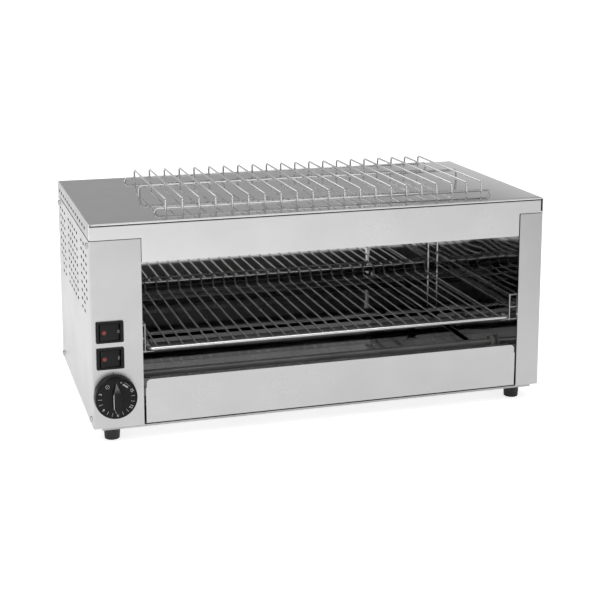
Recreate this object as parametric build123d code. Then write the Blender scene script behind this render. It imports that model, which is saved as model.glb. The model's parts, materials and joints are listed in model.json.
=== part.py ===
"""Counter-top shelf toaster with quartz tube heaters, a wire shelf, a crumb tray and a warming rack.

Millimetres. X runs to the right, Y to the back and Z up, seen from the front. The origin is on the
surface that the feet stand on, below the middle of the whole appliance, knob and cable gland included.
Screws other than those of the side covers are left out.
"""
import math
import os

from build123d import *

# Casing
BODY_W = 550.0
BODY_D = 285.0
BODY_H = 235.0
SHEET = 1.0
BEND_R = 1.2
BEND_CHORDS = 2
TOP_FLANGE_H = 17.5
SEAM_H = BODY_H - TOP_FLANGE_H
SEAM_GAP = 1.5
RETURN_W = 14.0
FLANGE_H = 15.0

# Front of the casing
PANEL_W = 57.5
COLUMN_W = 30.0
HEADER_H = 46.0
HEADER_RETURN = 13.0
HEM_DEPTH = 10.0
END_TAB = 22.0

# Cavity
WALL_FLANGE = 10.0
BACK_WALL_SET = 12.0
CEILING_H = BODY_H - 19.0
CEILING_DROP = 12.0
LIP_DROP = 3.0
LIP_INSET = 9.5
LIP_SET = 2.0

# Ventilation slots
SLOT_L = 10.0
SLOT_W = 3.5
SLOT_PITCH_Y = 19.53
SLOT_PITCH_Z = 9.8
SLOT_FIRST_Y = 26.6
SLOT_TOP_Z = SEAM_H - 13.0
SLOT_COLUMNS = 13
SLOT_ROWS = 9
SLOT_SHORT_ROWS = 7
SLOT_BLANK_COLUMNS = (3, 9)
TOP_SLOT_FIRST_Y = 33.0
TOP_SLOT_PITCH = 19.45
TOP_SLOT_Z = SEAM_H + 7.8

# Feet
FOOT_H = 21.0
FOOT_TOP_D = 20.0
FOOT_TIP_D = 17.5
FOOT_INSET_X = 24.0
FOOT_INSET_Y = 25.0
FOOT_RECESS_D = 10.0
FOOT_RECESS_H = 11.0

# Side screws
SCREW_HEAD_D = 7.0
SCREW_HEAD_H = 2.3
SCREW_D = 3.0
SCREW_L = 7.0
SCREW_HOLE_D = 3.2
SCREW_FRONT_Y = 14.0
SCREW_REAR_Y = BODY_D - SCREW_FRONT_Y
SCREW_LOW_Z = 7.5
SCREW_HIGH_Z = SEAM_H - 8.5

# Quartz heaters
TUBE_D = 10.0
TUBE_BORE_D = 8.0
TUBE_LOW_Z = 37.0
TUBE_HIGH_Z = CEILING_H - 13.0
TUBE_FRONT_Y = 67.0
TUBE_REAR_Y = 172.0
TUBE_OVERRUN = 14.0
COIL_D = 5.0
BUSH_D = 17.0
BUSH_NECK_D = 13.0
BUSH_NECK_L = 4.0
BUSH_FLANGE_L = 6.0
BUSH_CLEAR = 0.05
CAP_L = 9.0

# Crumb tray
TRAY_SHEET = 0.8
TRAY_GAP = 2.5
TRAY_BOTTOM_Z = 1.5
TRAY_TOP_Z = 53.0
TRAY_SHOULDER_Z = 43.0
TRAY_SHOULDER = 1.0
TRAY_CORNER_R = 5.0
TRAY_LIP = 8.0
TRAY_REAR_GAP = 10.0
TRAY_SIDE_H = 14.0
TRAY_REAR_H = 18.0
TRAY_WELD_H = 30.0
TRAY_PAN_INSET = 2.0
REST_GAP = 0.3

# Shelf and its rails
RAIL_D = 2.2
RAIL_LOW_Z = 82.0
RAIL_MID_Z = 97.4
RAIL_TOP_Z = 113.0
RAIL_STAND_OFF = 4.8
RAIL_INSET = 16.5
RAIL_FRONT_Y = 13.0
RAIL_REAR_Y = BODY_D - 35.0
SHELF_BAR_D = 5.0
SHELF_BAR_Y = 8.0
SHELF_BAR_TAIL = 14.0
SHELF_BAR_R = 6.0
SHELF_SIDE_CLEAR = 1.0
SHELF_REST = 0.2
SHELF_WIRE_D = 2.2
SHELF_WIRES = 29
SHELF_SIDE_MARGIN = 11.27
SHELF_CROSS_D = 2.4
SHELF_REAR_Y = BODY_D - 33.0
SHELF_CROSS_YS = (67.5, SHELF_REAR_Y - 6.0)
SHELF_LEAN = 8.5
SHELF_RISE = 12.5
SHELF_END = 1.5
SHELF_REAR_BAR_D = 2.6

# Warming rack
RACK_WIRES = 21
RACK_PITCH = 19.6
RACK_MIDDLE_X = BODY_W / 2 + 15.0
RACK_WIRE_D = 2.4
RACK_ROD_D = 3.0
RACK_FRONT_Y = 40.0
RACK_REAR_Y = BODY_D - 36.0
RACK_MIDDLE_Y = (RACK_FRONT_Y + RACK_REAR_Y) / 2 + 0.5
RACK_H = 16.5
RACK_BEND_R = 3.5
RACK_FOOT_GAP = 1.0
RACK_ROD_Z = 4.5
RACK_ROD_W = 416.0

# Switches
SWITCH_X = 20.45
SWITCH_ZS = {"upper": 112.2, "lower": 81.5}
BEZEL_W = 31.1
BEZEL_H = 24.6
BEZEL_T = 2.0
BEZEL_BEVEL = 0.8
WINDOW_W = 24.0
WINDOW_H = 20.2
HOUSING_W = 27.6
HOUSING_H = 22.2
HOUSING_DEPTH = 22.0
CUTOUT_CLEAR = 0.2
WELL_DEPTH = 11.0
ROCKER_W = 22.6
ROCKER_CLEAR = 0.3
ROCKER_PIVOT = 4.0
ROCKER_BACK = 4.0
ROCKER_BACK_INSET = 2.0
ROCKER_TILT = 7.0
ROCKER_CHAMFER_W = 3.4
ROCKER_CHAMFER_T = 0.9
PIVOT_D = 3.0
PIVOT_CLEAR = 0.05
LENS_D = 5.2
LENS_PROUD = 0.4
LENS_SUNK = 1.6
LENS_X = -6.9
BLADE_W = 6.3
BLADE_T = 0.8
BLADE_L = 9.0
BLADE_PITCH = 9.5

# Timer
TIMER_X = 24.6
TIMER_Z = 38.0
KNOB_D = 48.5
KNOB_TIP_D = 47.3
KNOB_GAP = 1.0
KNOB_SKIRT = 12.0
KNOB_EDGE = 1.2
KNOB_BORE_DEPTH = 13.0
GRIP_H = 8.5
GRIP_W = 11.0
GRIP_TIP = 19.7
GRIP_SHOULDER = 8.0
GRIP_WAIST = -10.0
GRIP_END = -17.0
GRIP_END_W = 4.4
GRIP_DRAFT = 7.0
GRIP_RAMP = 10.0
SHAFT_D = 6.0
SHAFT_CLEAR = 0.05
SHAFT_SUNK = 12.0
TIMER_W = 44.0
TIMER_H = 50.0
TIMER_DEPTH = 36.0
TIMER_NECK_D = 12.0

# Power inlet
GLAND_X = 28.0
GLAND_Z = 32.0
GLAND_THREAD_D = 16.0
GLAND_FLANGE_D = 22.0
GLAND_FLANGE_L = 6.0
GLAND_DOME_D = 19.0
GLAND_DOME_TIP_D = 14.0
GLAND_DOME_L = 14.0
GLAND_BORE_D = 8.0
GLAND_INSIDE_L = 9.0
GLAND_NUT_D = 20.0
GLAND_NUT_L = 5.0
TERMINAL_W = 34.0
TERMINAL_D = 18.0
TERMINAL_H = 20.0
TERMINAL_Y = BODY_D - 60.0
TERMINAL_WAYS = 3

# Places worked out from the sizes above
KNOB_OUT = KNOB_GAP + KNOB_SKIRT + GRIP_H
GLAND_OUT = GLAND_FLANGE_L + GLAND_DOME_L
LEFT = -BODY_W / 2
RIGHT = BODY_W / 2
FRONT = (KNOB_OUT - GLAND_OUT - BODY_D) / 2
BACK = FRONT + BODY_D
BASE = FOOT_H
TOP = BASE + BODY_H
COVER_TOP = BASE + SEAM_H - SEAM_GAP
FLOOR_TOP = BASE + SHEET
HEADER_BOTTOM = TOP - HEADER_H
HEADER_TOP = TOP - 2 * SHEET
INNER_FRONT = FRONT + SHEET
INNER_BACK = BACK - 2 * SHEET
CORNER = BEND_R + SHEET / 2
CAVITY_LEFT = LEFT + PANEL_W
CAVITY_RIGHT = RIGHT - COLUMN_W
CAVITY_MIDDLE = (CAVITY_LEFT + CAVITY_RIGHT) / 2
CAVITY_BACK = BACK - BACK_WALL_SET - SHEET
CEILING = BASE + CEILING_H
SHELF_HALF = (CAVITY_RIGHT - CAVITY_LEFT) / 2 - RAIL_STAND_OFF - RAIL_D / 2 - SHELF_SIDE_CLEAR
SHELF_PITCH = 2 * (SHELF_HALF - SHELF_SIDE_MARGIN) / (SHELF_WIRES - 1)
SHELF_Z = BASE + RAIL_LOW_Z + RAIL_D / 2 + SHELF_REST
SHELF_WIRE_Z = SHELF_Z + SHELF_CROSS_D + SHELF_WIRE_D / 2
RACK_Z = TOP + REST_GAP
TUBE_L = CAVITY_RIGHT - CAVITY_LEFT + 2 * TUBE_OVERRUN


def block(x0, x1, y0, y1, z0, z1):
    """Box between two opposite corners."""
    return Pos((x0 + x1) / 2, (y0 + y1) / 2, (z0 + z1) / 2) * Box(abs(x1 - x0), abs(y1 - y0), abs(z1 - z0))


def rounded(points, radius, chords=1):
    """The same square corners, each one cut across by as many chords of its bend as asked."""
    path = [points[0]]
    for before, corner, after in zip(points, points[1:], points[2:]):
        here = Vector(*corner)
        back = (Vector(*before) - here).normalized()
        ahead = (Vector(*after) - here).normalized()
        centre = here + (back + ahead) * radius
        for step in range(chords + 1):
            turn = math.pi / 2 * step / chords
            path.append(tuple(centre - ahead * radius * math.cos(turn) - back * radius * math.sin(turn)))
    path.append(points[-1])
    return path


def bent_section(points):
    """Section of a bent sheet along its middle line, given in the section's own two directions."""
    middle = [Vector(*point) for point in rounded(points, BEND_R, BEND_CHORDS)]
    normals = [(after - before).normalized().rotate(Axis.Z, 90) for before, after in zip(middle, middle[1:])]
    mitres = []
    for before, after in zip(normals[:1] + normals, normals + normals[-1:]):
        between = (before + after).normalized()
        mitres.append(between * (SHEET / 2 / between.dot(before)))
    right_side = [point - mitre for point, mitre in zip(middle, mitres)]
    left_side = [point + mitre for point, mitre in zip(middle, mitres)]
    return Polygon(*right_side, *reversed(left_side), align=None)


def along_x(section, x0, x1):
    """Extrude a section drawn in Y and Z from x0 to x1."""
    return extrude(Plane.YZ.offset(x0) * section, amount=x1 - x0)


def along_y(section, y0, y1):
    """Extrude a section drawn in X and Z from y0 to y1."""
    return extrude(Plane.XZ.offset(-y1) * section, amount=y1 - y0)


def along_z(section, z0, z1):
    """Extrude a section drawn in X and Y from z0 to z1."""
    return extrude(Plane.XY.offset(z0) * section, amount=z1 - z0)


def facing_front(x, y, z):
    """Place on a front face, with its own Z pointing out to the front and its own Y up."""
    return Plane(origin=(x, y, z), x_dir=(1, 0, 0), z_dir=(0, -1, 0)).location


def facing_back(x, y, z):
    """Place on a back face, with its own Z pointing out to the back and its own Y up."""
    return Plane(origin=(x, y, z), x_dir=(-1, 0, 0), z_dir=(0, 1, 0)).location


def facing_side(x, y, z, out):
    """Place on a side, with its own Z pointing out to the left where out is -1 and to the right where it is 1."""
    return Plane(origin=(x, y, z), x_dir=(0, out, 0), z_dir=(out, 0, 0)).location


def disc(diameter, height):
    """Cylinder that stands on its own origin."""
    return Cylinder(diameter / 2, height, align=(Align.CENTER, Align.CENTER, Align.MIN))


def prism(diameter, height, sides):
    """Regular prism that stands on its own origin, with its size measured across flats."""
    return extrude(RegularPolygon(diameter / 2, sides, major_radius=False), amount=height)


def wire(points, diameter, side, sides=6):
    """Wire along straight runs, mitred where they meet; side is a direction that two of its flats face."""
    start, following = Vector(*points[0]), Vector(*points[1])
    section_plane = Plane(origin=start, x_dir=side, z_dir=following - start)
    section = section_plane * RegularPolygon(diameter / 2, sides, major_radius=False, rotation=180 / sides)
    return sweep(section, path=Polyline(*points), transition=Transition.RIGHT)


def group(shapes):
    """Separate solids kept together as one node."""
    return Compound(children=[solid for shape in shapes for solid in shape.solids()])


def slots(places):
    """Ventilation slots, one at each place of the section."""
    return Sketch() + [Pos(*place) * Rectangle(SLOT_L, SLOT_W) for place in places]


def screw_places():
    """Screws of one side cover as pairs of Y and Z."""
    return [(FRONT + y, BASE + z) for y in (SCREW_FRONT_Y, SCREW_REAR_Y) for z in (SCREW_LOW_Z, SCREW_HIGH_Z)]


def side_screw_holes(out):
    """Cutters for one side cover's screws, through the cover and the flange behind it."""
    hole = Pos(0, 0, -3 * SHEET) * prism(SCREW_HOLE_D, 4 * SHEET, 6)
    return [facing_side(out * BODY_W / 2, y, z, out) * hole for y, z in screw_places()]


def foot_places():
    """Feet as pairs of X and Y."""
    return {"front_left": (LEFT + FOOT_INSET_X, FRONT + FOOT_INSET_Y),
            "front_right": (RIGHT - FOOT_INSET_X, FRONT + FOOT_INSET_Y),
            "rear_left": (LEFT + FOOT_INSET_X, BACK - FOOT_INSET_Y),
            "rear_right": (RIGHT - FOOT_INSET_X, BACK - FOOT_INSET_Y)}


def tube_places():
    """Heater tubes as pairs of Y and Z."""
    return {"lower_front": (FRONT + TUBE_FRONT_Y, BASE + TUBE_LOW_Z),
            "lower_rear": (FRONT + TUBE_REAR_Y, BASE + TUBE_LOW_Z),
            "upper_front": (FRONT + TUBE_FRONT_Y, BASE + TUBE_HIGH_Z),
            "upper_rear": (FRONT + TUBE_REAR_Y, BASE + TUBE_HIGH_Z)}


def top_cover():
    """Top panel with a hemmed front edge and flanges on both sides and at the back."""
    half = SHEET / 2
    seam = BASE + SEAM_H
    cover = along_y(bent_section([(LEFT + half, seam), (LEFT + half, TOP - half), (RIGHT - half, TOP - half),
                                  (RIGHT - half, seam)]), FRONT, BACK)
    cover += block(LEFT + SHEET, RIGHT - SHEET, BACK - SHEET, BACK, seam, TOP - SHEET)
    cover += block(LEFT + SHEET + CORNER, RIGHT - SHEET - CORNER, FRONT, FRONT + HEM_DEPTH, TOP - 2 * SHEET,
                   TOP - SHEET)
    side_slots = slots([(FRONT + TOP_SLOT_FIRST_Y + TOP_SLOT_PITCH * i, BASE + TOP_SLOT_Z)
                        for i in range(SLOT_COLUMNS)])
    cover -= along_x(side_slots, LEFT - SHEET, LEFT + 2 * SHEET)
    cover -= along_x(side_slots, RIGHT - 2 * SHEET, RIGHT + SHEET)
    return cover


def side_cover(front_w):
    """Left side and front return in one bent sheet, with the slots and screw holes of the side."""
    half = SHEET / 2
    section = bent_section([(LEFT + front_w, FRONT + half), (LEFT + half, FRONT + half),
                            (LEFT + half, BACK - SHEET - half), (LEFT + RETURN_W, BACK - SHEET - half)])
    cover = along_z(section, BASE, COVER_TOP)
    places = []
    for column in range(SLOT_COLUMNS):
        if column in SLOT_BLANK_COLUMNS:
            continue
        rows = SLOT_SHORT_ROWS if column in (0, SLOT_COLUMNS - 1) else SLOT_ROWS
        y = FRONT + SLOT_FIRST_Y + SLOT_PITCH_Y * column
        places += [(y, BASE + SLOT_TOP_Z - SLOT_PITCH_Z * row) for row in range(rows)]
    cover -= along_x(slots(places), LEFT - SHEET, LEFT + 2 * SHEET)
    cover -= side_screw_holes(-1)
    return cover


def left_side_cover():
    """Left cover, whose front return is the control panel."""
    cover = side_cover(PANEL_W)
    opening = Rectangle(HOUSING_W + 2 * CUTOUT_CLEAR, HOUSING_H + 2 * CUTOUT_CLEAR)
    for z in SWITCH_ZS.values():
        cover -= along_y(Pos(LEFT + SWITCH_X, BASE + z) * opening, FRONT - SHEET, FRONT + 2 * SHEET)
    place = facing_front(LEFT + TIMER_X, FRONT + 2 * SHEET, BASE + TIMER_Z)
    return cover - place * prism(TIMER_NECK_D + 2 * CUTOUT_CLEAR, 3 * SHEET, 12)


def right_side_cover():
    """Right cover, whose front return is the narrow column beside the cavity."""
    return mirror(side_cover(COLUMN_W), about=Plane.YZ)


def cross_channel(face_y, inward, top):
    """Channel right across the casing, with a tab at each end that lies behind a side cover.

    face_y is its outer face and inward is 1 where the channel opens to the back, -1 where it opens to the front.
    """
    half = SHEET / 2
    middle = face_y + inward * half
    tab_end = face_y + inward * END_TAB
    outer = BODY_W / 2 - SHEET - half
    tabs = along_z(bent_section([(-outer, tab_end), (-outer, middle), (outer, middle), (outer, tab_end)]),
                   HEADER_BOTTOM, COVER_TOP)
    inner_end = BODY_W / 2 - SHEET - CORNER
    face = along_x(bent_section([(face_y + inward * HEADER_RETURN, top - half), (middle, top - half),
                                 (middle, HEADER_BOTTOM)]), -inner_end, inner_end)
    channel = tabs + face
    for out in (-1, 1):
        channel -= side_screw_holes(out)
    return channel


def front_header():
    """Band across the front above the cavity, with a return along its lower edge."""
    header = cross_channel(INNER_FRONT, 1, HEADER_TOP)
    return header + block(CAVITY_LEFT, CAVITY_RIGHT, INNER_FRONT + SHEET, INNER_FRONT + HEADER_RETURN, HEADER_BOTTOM,
                          HEADER_BOTTOM + SHEET)


def rear_crossbar():
    """Channel across the back that carries the top cover and the side covers' rear screws."""
    return cross_channel(INNER_BACK, -1, TOP - SHEET)


def back_cover():
    """Flat back panel with the hole of the cable gland."""
    cover = block(LEFT, RIGHT, BACK - SHEET, BACK, BASE, COVER_TOP)
    hole = facing_back(LEFT + GLAND_X, BACK - 2 * SHEET, BASE + GLAND_Z)
    return cover - hole * prism(GLAND_THREAD_D + 2 * BUSH_CLEAR, 3 * SHEET, 16)


def base_plate():
    """Floor of the casing, with flanges up inside the covers and a lip down along the front."""
    half = SHEET / 2
    rear = INNER_BACK - CORNER
    plate = along_y(bent_section([(LEFT + SHEET + half, BASE + FLANGE_H), (LEFT + SHEET + half, BASE + half),
                                  (RIGHT - SHEET - half, BASE + half), (RIGHT - SHEET - half, BASE + FLANGE_H)]),
                    FRONT + LIP_SET, rear)
    plate += block(LEFT + RETURN_W, RIGHT - RETURN_W, rear, INNER_BACK, BASE, BASE + SHEET)
    plate += block(LEFT + RETURN_W, RIGHT - RETURN_W, INNER_BACK, BACK - SHEET, BASE, BASE + FLANGE_H)
    plate += block(LEFT + LIP_INSET, RIGHT - LIP_INSET, FRONT + LIP_SET, FRONT + LIP_SET + SHEET, BASE - LIP_DROP,
                   BASE + half)
    for out in (-1, 1):
        plate -= side_screw_holes(out)
    return plate


def cavity_side_wall(x_in, out):
    """Side wall of the cavity; out is -1 on the left and 1 on the right, away from the cavity."""
    half = SHEET / 2
    middle = x_in + out * half
    front = INNER_FRONT + half
    wall = along_z(bent_section([(middle + out * WALL_FLANGE, front), (middle, front),
                                 (middle, CAVITY_BACK + SHEET)]), FLOOR_TOP, HEADER_BOTTOM)
    wall += block(x_in, x_in + out * SHEET, INNER_FRONT + CORNER, CAVITY_BACK + SHEET, HEADER_BOTTOM,
                  HEADER_TOP - SHEET)
    hole = Pos(0, 0, -2 * SHEET) * prism(BUSH_NECK_D + 2 * BUSH_CLEAR, 4 * SHEET, 6)
    for y, z in tube_places().values():
        wall -= facing_side(x_in, y, z, out) * hole
    return wall


def cavity_back_wall():
    """Back wall of the cavity between the side walls."""
    return block(CAVITY_LEFT, CAVITY_RIGHT, CAVITY_BACK, CAVITY_BACK + SHEET, FLOOR_TOP, TOP - 2 * SHEET)


def upper_reflector():
    """Ceiling of the cavity above the upper heaters, turned down behind the header."""
    half = SHEET / 2
    front = INNER_FRONT + HEADER_RETURN + half
    section = bent_section([(front, CEILING - CEILING_DROP), (front, CEILING + half), (CAVITY_BACK, CEILING + half)])
    return along_x(section, CAVITY_LEFT, CAVITY_RIGHT)


def foot(x, y):
    """Tapered rubber foot with a recess in its sole."""
    taper = math.degrees(math.atan((FOOT_TOP_D - FOOT_TIP_D) / 2 / FOOT_H))
    body = Pos(0, 0, FOOT_H) * Rot(180, 0, 0) * extrude(RegularPolygon(FOOT_TOP_D / 2, 16), amount=FOOT_H, taper=taper)
    return Pos(x, y, 0) * (body - prism(FOOT_RECESS_D, FOOT_RECESS_H, 12))


def side_screw():
    """Self-tapping pan-head screw, with the underside of its head at its own origin."""
    head = extrude(RegularPolygon(SCREW_HEAD_D / 2, 8, major_radius=False), amount=SCREW_HEAD_H, taper=20)
    return head + Pos(0, 0, -SCREW_L) * prism(SCREW_D, SCREW_L, 6)


def cover_screws():
    """The four screws of each side cover."""
    return group([facing_side(out * BODY_W / 2, y, z, out) * side_screw() for out in (-1, 1)
                  for y, z in screw_places()])


def quartz_tube(y, z):
    """Hollow quartz tube that runs through both side walls."""
    tube = prism(TUBE_D, TUBE_L, 12) - prism(TUBE_BORE_D, TUBE_L, 12)
    return facing_side(CAVITY_LEFT - TUBE_OVERRUN, y, z, 1) * tube


def heating_coils():
    """The heating coil in each tube, as a plain rod of the coil's outer size."""
    return group([facing_side(CAVITY_LEFT - TUBE_OVERRUN, y, z, 1) * prism(COIL_D, TUBE_L, 6)
                  for y, z in tube_places().values()])


def tube_bush():
    """Ceramic bush with its flange inside the cavity, its hexagonal neck through the wall and its Z outwards."""
    bush = prism(BUSH_D, BUSH_FLANGE_L, 12) + Pos(0, 0, BUSH_FLANGE_L) * prism(BUSH_NECK_D, BUSH_NECK_L, 6)
    return bush - prism(TUBE_D + 2 * BUSH_CLEAR, BUSH_FLANGE_L + BUSH_NECK_L, 12)


def both_ends(item, reach):
    """The same item at both ends of every tube, reach beyond the cavity's wall."""
    return group([facing_side(wall + out * reach, y, z, out) * item for y, z in tube_places().values()
                  for wall, out in ((CAVITY_LEFT, -1), (CAVITY_RIGHT, 1))])


def tray_front():
    """Front of the crumb tray, with its top edge folded back."""
    half_w = (CAVITY_RIGHT - CAVITY_LEFT) / 2 - TRAY_GAP
    neck_w = half_w - TRAY_SHOULDER
    face = Polygon((-half_w, TRAY_BOTTOM_Z), (half_w, TRAY_BOTTOM_Z), (half_w, TRAY_SHOULDER_Z),
                   (neck_w, TRAY_SHOULDER_Z), (neck_w, TRAY_TOP_Z), (-neck_w, TRAY_TOP_Z),
                   (-neck_w, TRAY_SHOULDER_Z), (-half_w, TRAY_SHOULDER_Z), align=None)
    face = fillet(face.vertices().group_by(Axis.Y)[-1], TRAY_CORNER_R)
    panel = along_y(Pos(CAVITY_MIDDLE, BASE) * face, FRONT, FRONT + SHEET)
    lip_w = neck_w - TRAY_CORNER_R
    top = BASE + TRAY_TOP_Z
    return panel + block(CAVITY_MIDDLE - lip_w, CAVITY_MIDDLE + lip_w, FRONT + SHEET, FRONT + TRAY_LIP, top - SHEET,
                         top)


def tray_pan():
    """Pan of the crumb tray, open on top, with a taller rear edge and a flange behind the front."""
    half_w = (CAVITY_RIGHT - CAVITY_LEFT) / 2 - TRAY_GAP - TRAY_PAN_INSET
    x0, x1 = CAVITY_MIDDLE - half_w, CAVITY_MIDDLE + half_w
    y0, y1 = FRONT + SHEET, CAVITY_BACK - TRAY_REAR_GAP
    z0 = FLOOR_TOP + REST_GAP
    pan = block(x0, x1, y0, y1, z0, z0 + TRAY_SHEET)
    pan += block(x0, x0 + TRAY_SHEET, y0, y1, z0, z0 + TRAY_SIDE_H)
    pan += block(x1 - TRAY_SHEET, x1, y0, y1, z0, z0 + TRAY_SIDE_H)
    pan += block(x0, x1, y1 - TRAY_SHEET, y1, z0, z0 + TRAY_REAR_H)
    pan += block(x0, x1, y0, y0 + TRAY_SHEET, z0, z0 + TRAY_WELD_H)
    return pan


def shelf_rail(x_wall, out):
    """Wire frame of three runners and a front post on one side wall; out points away from the cavity."""
    x_runner = x_wall - out * RAIL_STAND_OFF
    x_low = x_wall - out * RAIL_INSET
    y0, y1 = FRONT + RAIL_FRONT_Y, FRONT + RAIL_REAR_Y
    rail = wire([(x_runner, y0, BASE + RAIL_LOW_Z - RAIL_D / 2), (x_runner, y0, BASE + RAIL_TOP_Z + RAIL_D / 2)],
                RAIL_D, (0, 1, 0))
    for x, height in ((x_low, BASE + RAIL_LOW_Z), (x_runner, BASE + RAIL_MID_Z), (x_runner, BASE + RAIL_TOP_Z)):
        rail += wire([(x_wall, y0, height), (x, y0, height), (x, y1, height), (x_wall, y1, height)], RAIL_D,
                     (0, 0, 1))
    return rail


def shelf_bar():
    """Front bar of the shelf, with both ends turned back."""
    x0, x1 = (CAVITY_MIDDLE + side * (SHELF_HALF - SHELF_BAR_D / 2) for side in (-1, 1))
    y = FRONT + SHELF_BAR_Y
    z = SHELF_Z + SHELF_BAR_D / 2
    path = rounded([(x0, y + SHELF_BAR_TAIL, z), (x0, y, z), (x1, y, z), (x1, y + SHELF_BAR_TAIL, z)], SHELF_BAR_R,
                   chords=3)
    return wire(path, SHELF_BAR_D, (0, 0, 1), sides=8)


def shelf_wire_xs():
    """Places of the shelf's wires from left to right."""
    return [CAVITY_MIDDLE + SHELF_PITCH * (i - (SHELF_WIRES - 1) / 2) for i in range(SHELF_WIRES)]


def shelf_wires():
    """Wires from the front bar to the back, where they slope up."""
    y0 = FRONT + SHELF_BAR_Y + SHELF_BAR_D / 2
    y1 = FRONT + SHELF_REAR_Y
    z = SHELF_WIRE_Z
    return group([wire([(x, y0, z), (x, y1, z), (x, y1 + SHELF_LEAN, z + SHELF_RISE)], SHELF_WIRE_D, (0, 0, 1))
                  for x in shelf_wire_xs()])


def shelf_cross_wires():
    """Straight wires across the shelf under its wires, which ride on the lowest runners."""
    z = SHELF_Z + SHELF_CROSS_D / 2
    return group([wire([(CAVITY_MIDDLE - SHELF_HALF, FRONT + y, z), (CAVITY_MIDDLE + SHELF_HALF, FRONT + y, z)],
                       SHELF_CROSS_D, (0, 0, 1)) for y in SHELF_CROSS_YS])


def shelf_rear_bar():
    """Bar behind the sloping ends of the shelf's wires."""
    xs = shelf_wire_xs()
    slope = Vector(0, SHELF_LEAN, SHELF_RISE).normalized()
    behind = Vector(0, slope.Z, -slope.Y)
    end = Vector(0, FRONT + SHELF_REAR_Y + SHELF_LEAN, SHELF_WIRE_Z + SHELF_RISE)
    middle = end - slope * SHELF_END + behind * (SHELF_WIRE_D / 2 + SHELF_REAR_BAR_D / 2)
    return wire([(xs[0] - SHELF_WIRE_D, middle.Y, middle.Z), (xs[-1] + SHELF_WIRE_D, middle.Y, middle.Z)],
                SHELF_REAR_BAR_D, tuple(behind))


def rack_wires():
    """Cross wires of the warming rack, each one an upside-down U."""
    z0 = RACK_Z + RACK_FOOT_GAP
    z1 = RACK_Z + RACK_H - RACK_WIRE_D / 2
    y0, y1 = FRONT + RACK_FRONT_Y, FRONT + RACK_REAR_Y
    wires = []
    for i in range(RACK_WIRES):
        x = LEFT + RACK_MIDDLE_X + RACK_PITCH * (i - (RACK_WIRES - 1) / 2)
        path = rounded([(x, y0, z0), (x, y0, z1), (x, y1, z1), (x, y1, z0)], RACK_BEND_R)
        wires.append(wire(path, RACK_WIRE_D, (0, 1, 0)))
    return group(wires)


def rack_rod(y, z, flats):
    """Long rod of the rack, with both ends turned down to the top cover."""
    x0 = LEFT + RACK_MIDDLE_X - RACK_ROD_W / 2
    x1 = x0 + RACK_ROD_W
    radius = min(RACK_BEND_R, (z - RACK_Z) * 0.7)
    path = rounded([(x0, y, RACK_Z), (x0, y, z), (x1, y, z), (x1, y, RACK_Z)], radius, chords=2)
    return wire(path, RACK_ROD_D, flats)


def rack_rods():
    """The front, middle and rear rods, by name."""
    beside = RACK_WIRE_D / 2 + RACK_ROD_D / 2
    under = RACK_Z + RACK_H - RACK_WIRE_D - RACK_ROD_D / 2
    return {"rack_front_rod": rack_rod(FRONT + RACK_FRONT_Y + beside, RACK_Z + RACK_ROD_Z, (0, 1, 0)),
            "rack_middle_rod": rack_rod(FRONT + RACK_MIDDLE_Y, under, (1, 0, 0)),
            "rack_rear_rod": rack_rod(FRONT + RACK_REAR_Y + beside, RACK_Z + RACK_ROD_Z, (0, 1, 0))}


def switch_housing(height):
    """Switch housing, a bezel in front of the panel and a box with an open well behind it."""
    bezel = chamfer(Box(BEZEL_W, BEZEL_H, BEZEL_T, align=(Align.CENTER, Align.CENTER, Align.MIN)).faces()
                    .sort_by(Axis.Z)[-1].edges(), BEZEL_BEVEL)
    housing = bezel + extrude(Rectangle(HOUSING_W, HOUSING_H), amount=-HOUSING_DEPTH)
    housing -= Pos(0, 0, BEZEL_T - WELL_DEPTH) * extrude(Rectangle(WINDOW_W, WINDOW_H), amount=WELL_DEPTH)
    pivot = prism(PIVOT_D + 2 * PIVOT_CLEAR, HOUSING_H, 12)
    housing -= Pos(0, HOUSING_H / 2, BEZEL_T - ROCKER_PIVOT) * Rot(90, 0, 0) * pivot
    return facing_front(LEFT + SWITCH_X, FRONT, BASE + height) * housing


def on_rocker(height):
    """Place of a switch's pivot, turned to the rocker's rest."""
    pivot = facing_front(LEFT + SWITCH_X, FRONT - BEZEL_T + ROCKER_PIVOT, BASE + height)
    return pivot * Rot(0, ROCKER_TILT, 0)


def switch_rocker(height):
    """Rocker with bevelled ends, a lamp seat and two pivot pins, its right end pressed in."""
    half = ROCKER_W / 2
    side = ROCKER_PIVOT - ROCKER_CHAMFER_T
    flat = half - ROCKER_CHAMFER_W
    heel = half - ROCKER_BACK_INSET
    outline = Polygon((-half, 0), (-heel, -ROCKER_BACK), (heel, -ROCKER_BACK), (half, 0), (half, side),
                      (flat, ROCKER_PIVOT), (-flat, ROCKER_PIVOT), (-half, side), align=None)
    rocker = extrude(Plane.XZ * outline, amount=WINDOW_H / 2 - ROCKER_CLEAR, both=True)
    rocker += Pos(0, HOUSING_H / 2, 0) * Rot(90, 0, 0) * prism(PIVOT_D * math.cos(math.pi / 12), HOUSING_H, 12)
    rocker -= Pos(LENS_X, 0, ROCKER_PIVOT - LENS_SUNK) * prism(LENS_D + 2 * BUSH_CLEAR, LENS_SUNK + SHEET, 12)
    return on_rocker(height) * rocker


def switch_lens(height):
    """Red lamp lens in the outer end of a rocker."""
    lens = prism(LENS_D, LENS_SUNK + LENS_PROUD, 12)
    lens = chamfer(lens.faces().sort_by(Axis.Z)[-1].edges(), LENS_PROUD * 0.8)
    return on_rocker(height) * Pos(LENS_X, 0, ROCKER_PIVOT - LENS_SUNK) * lens


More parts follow.
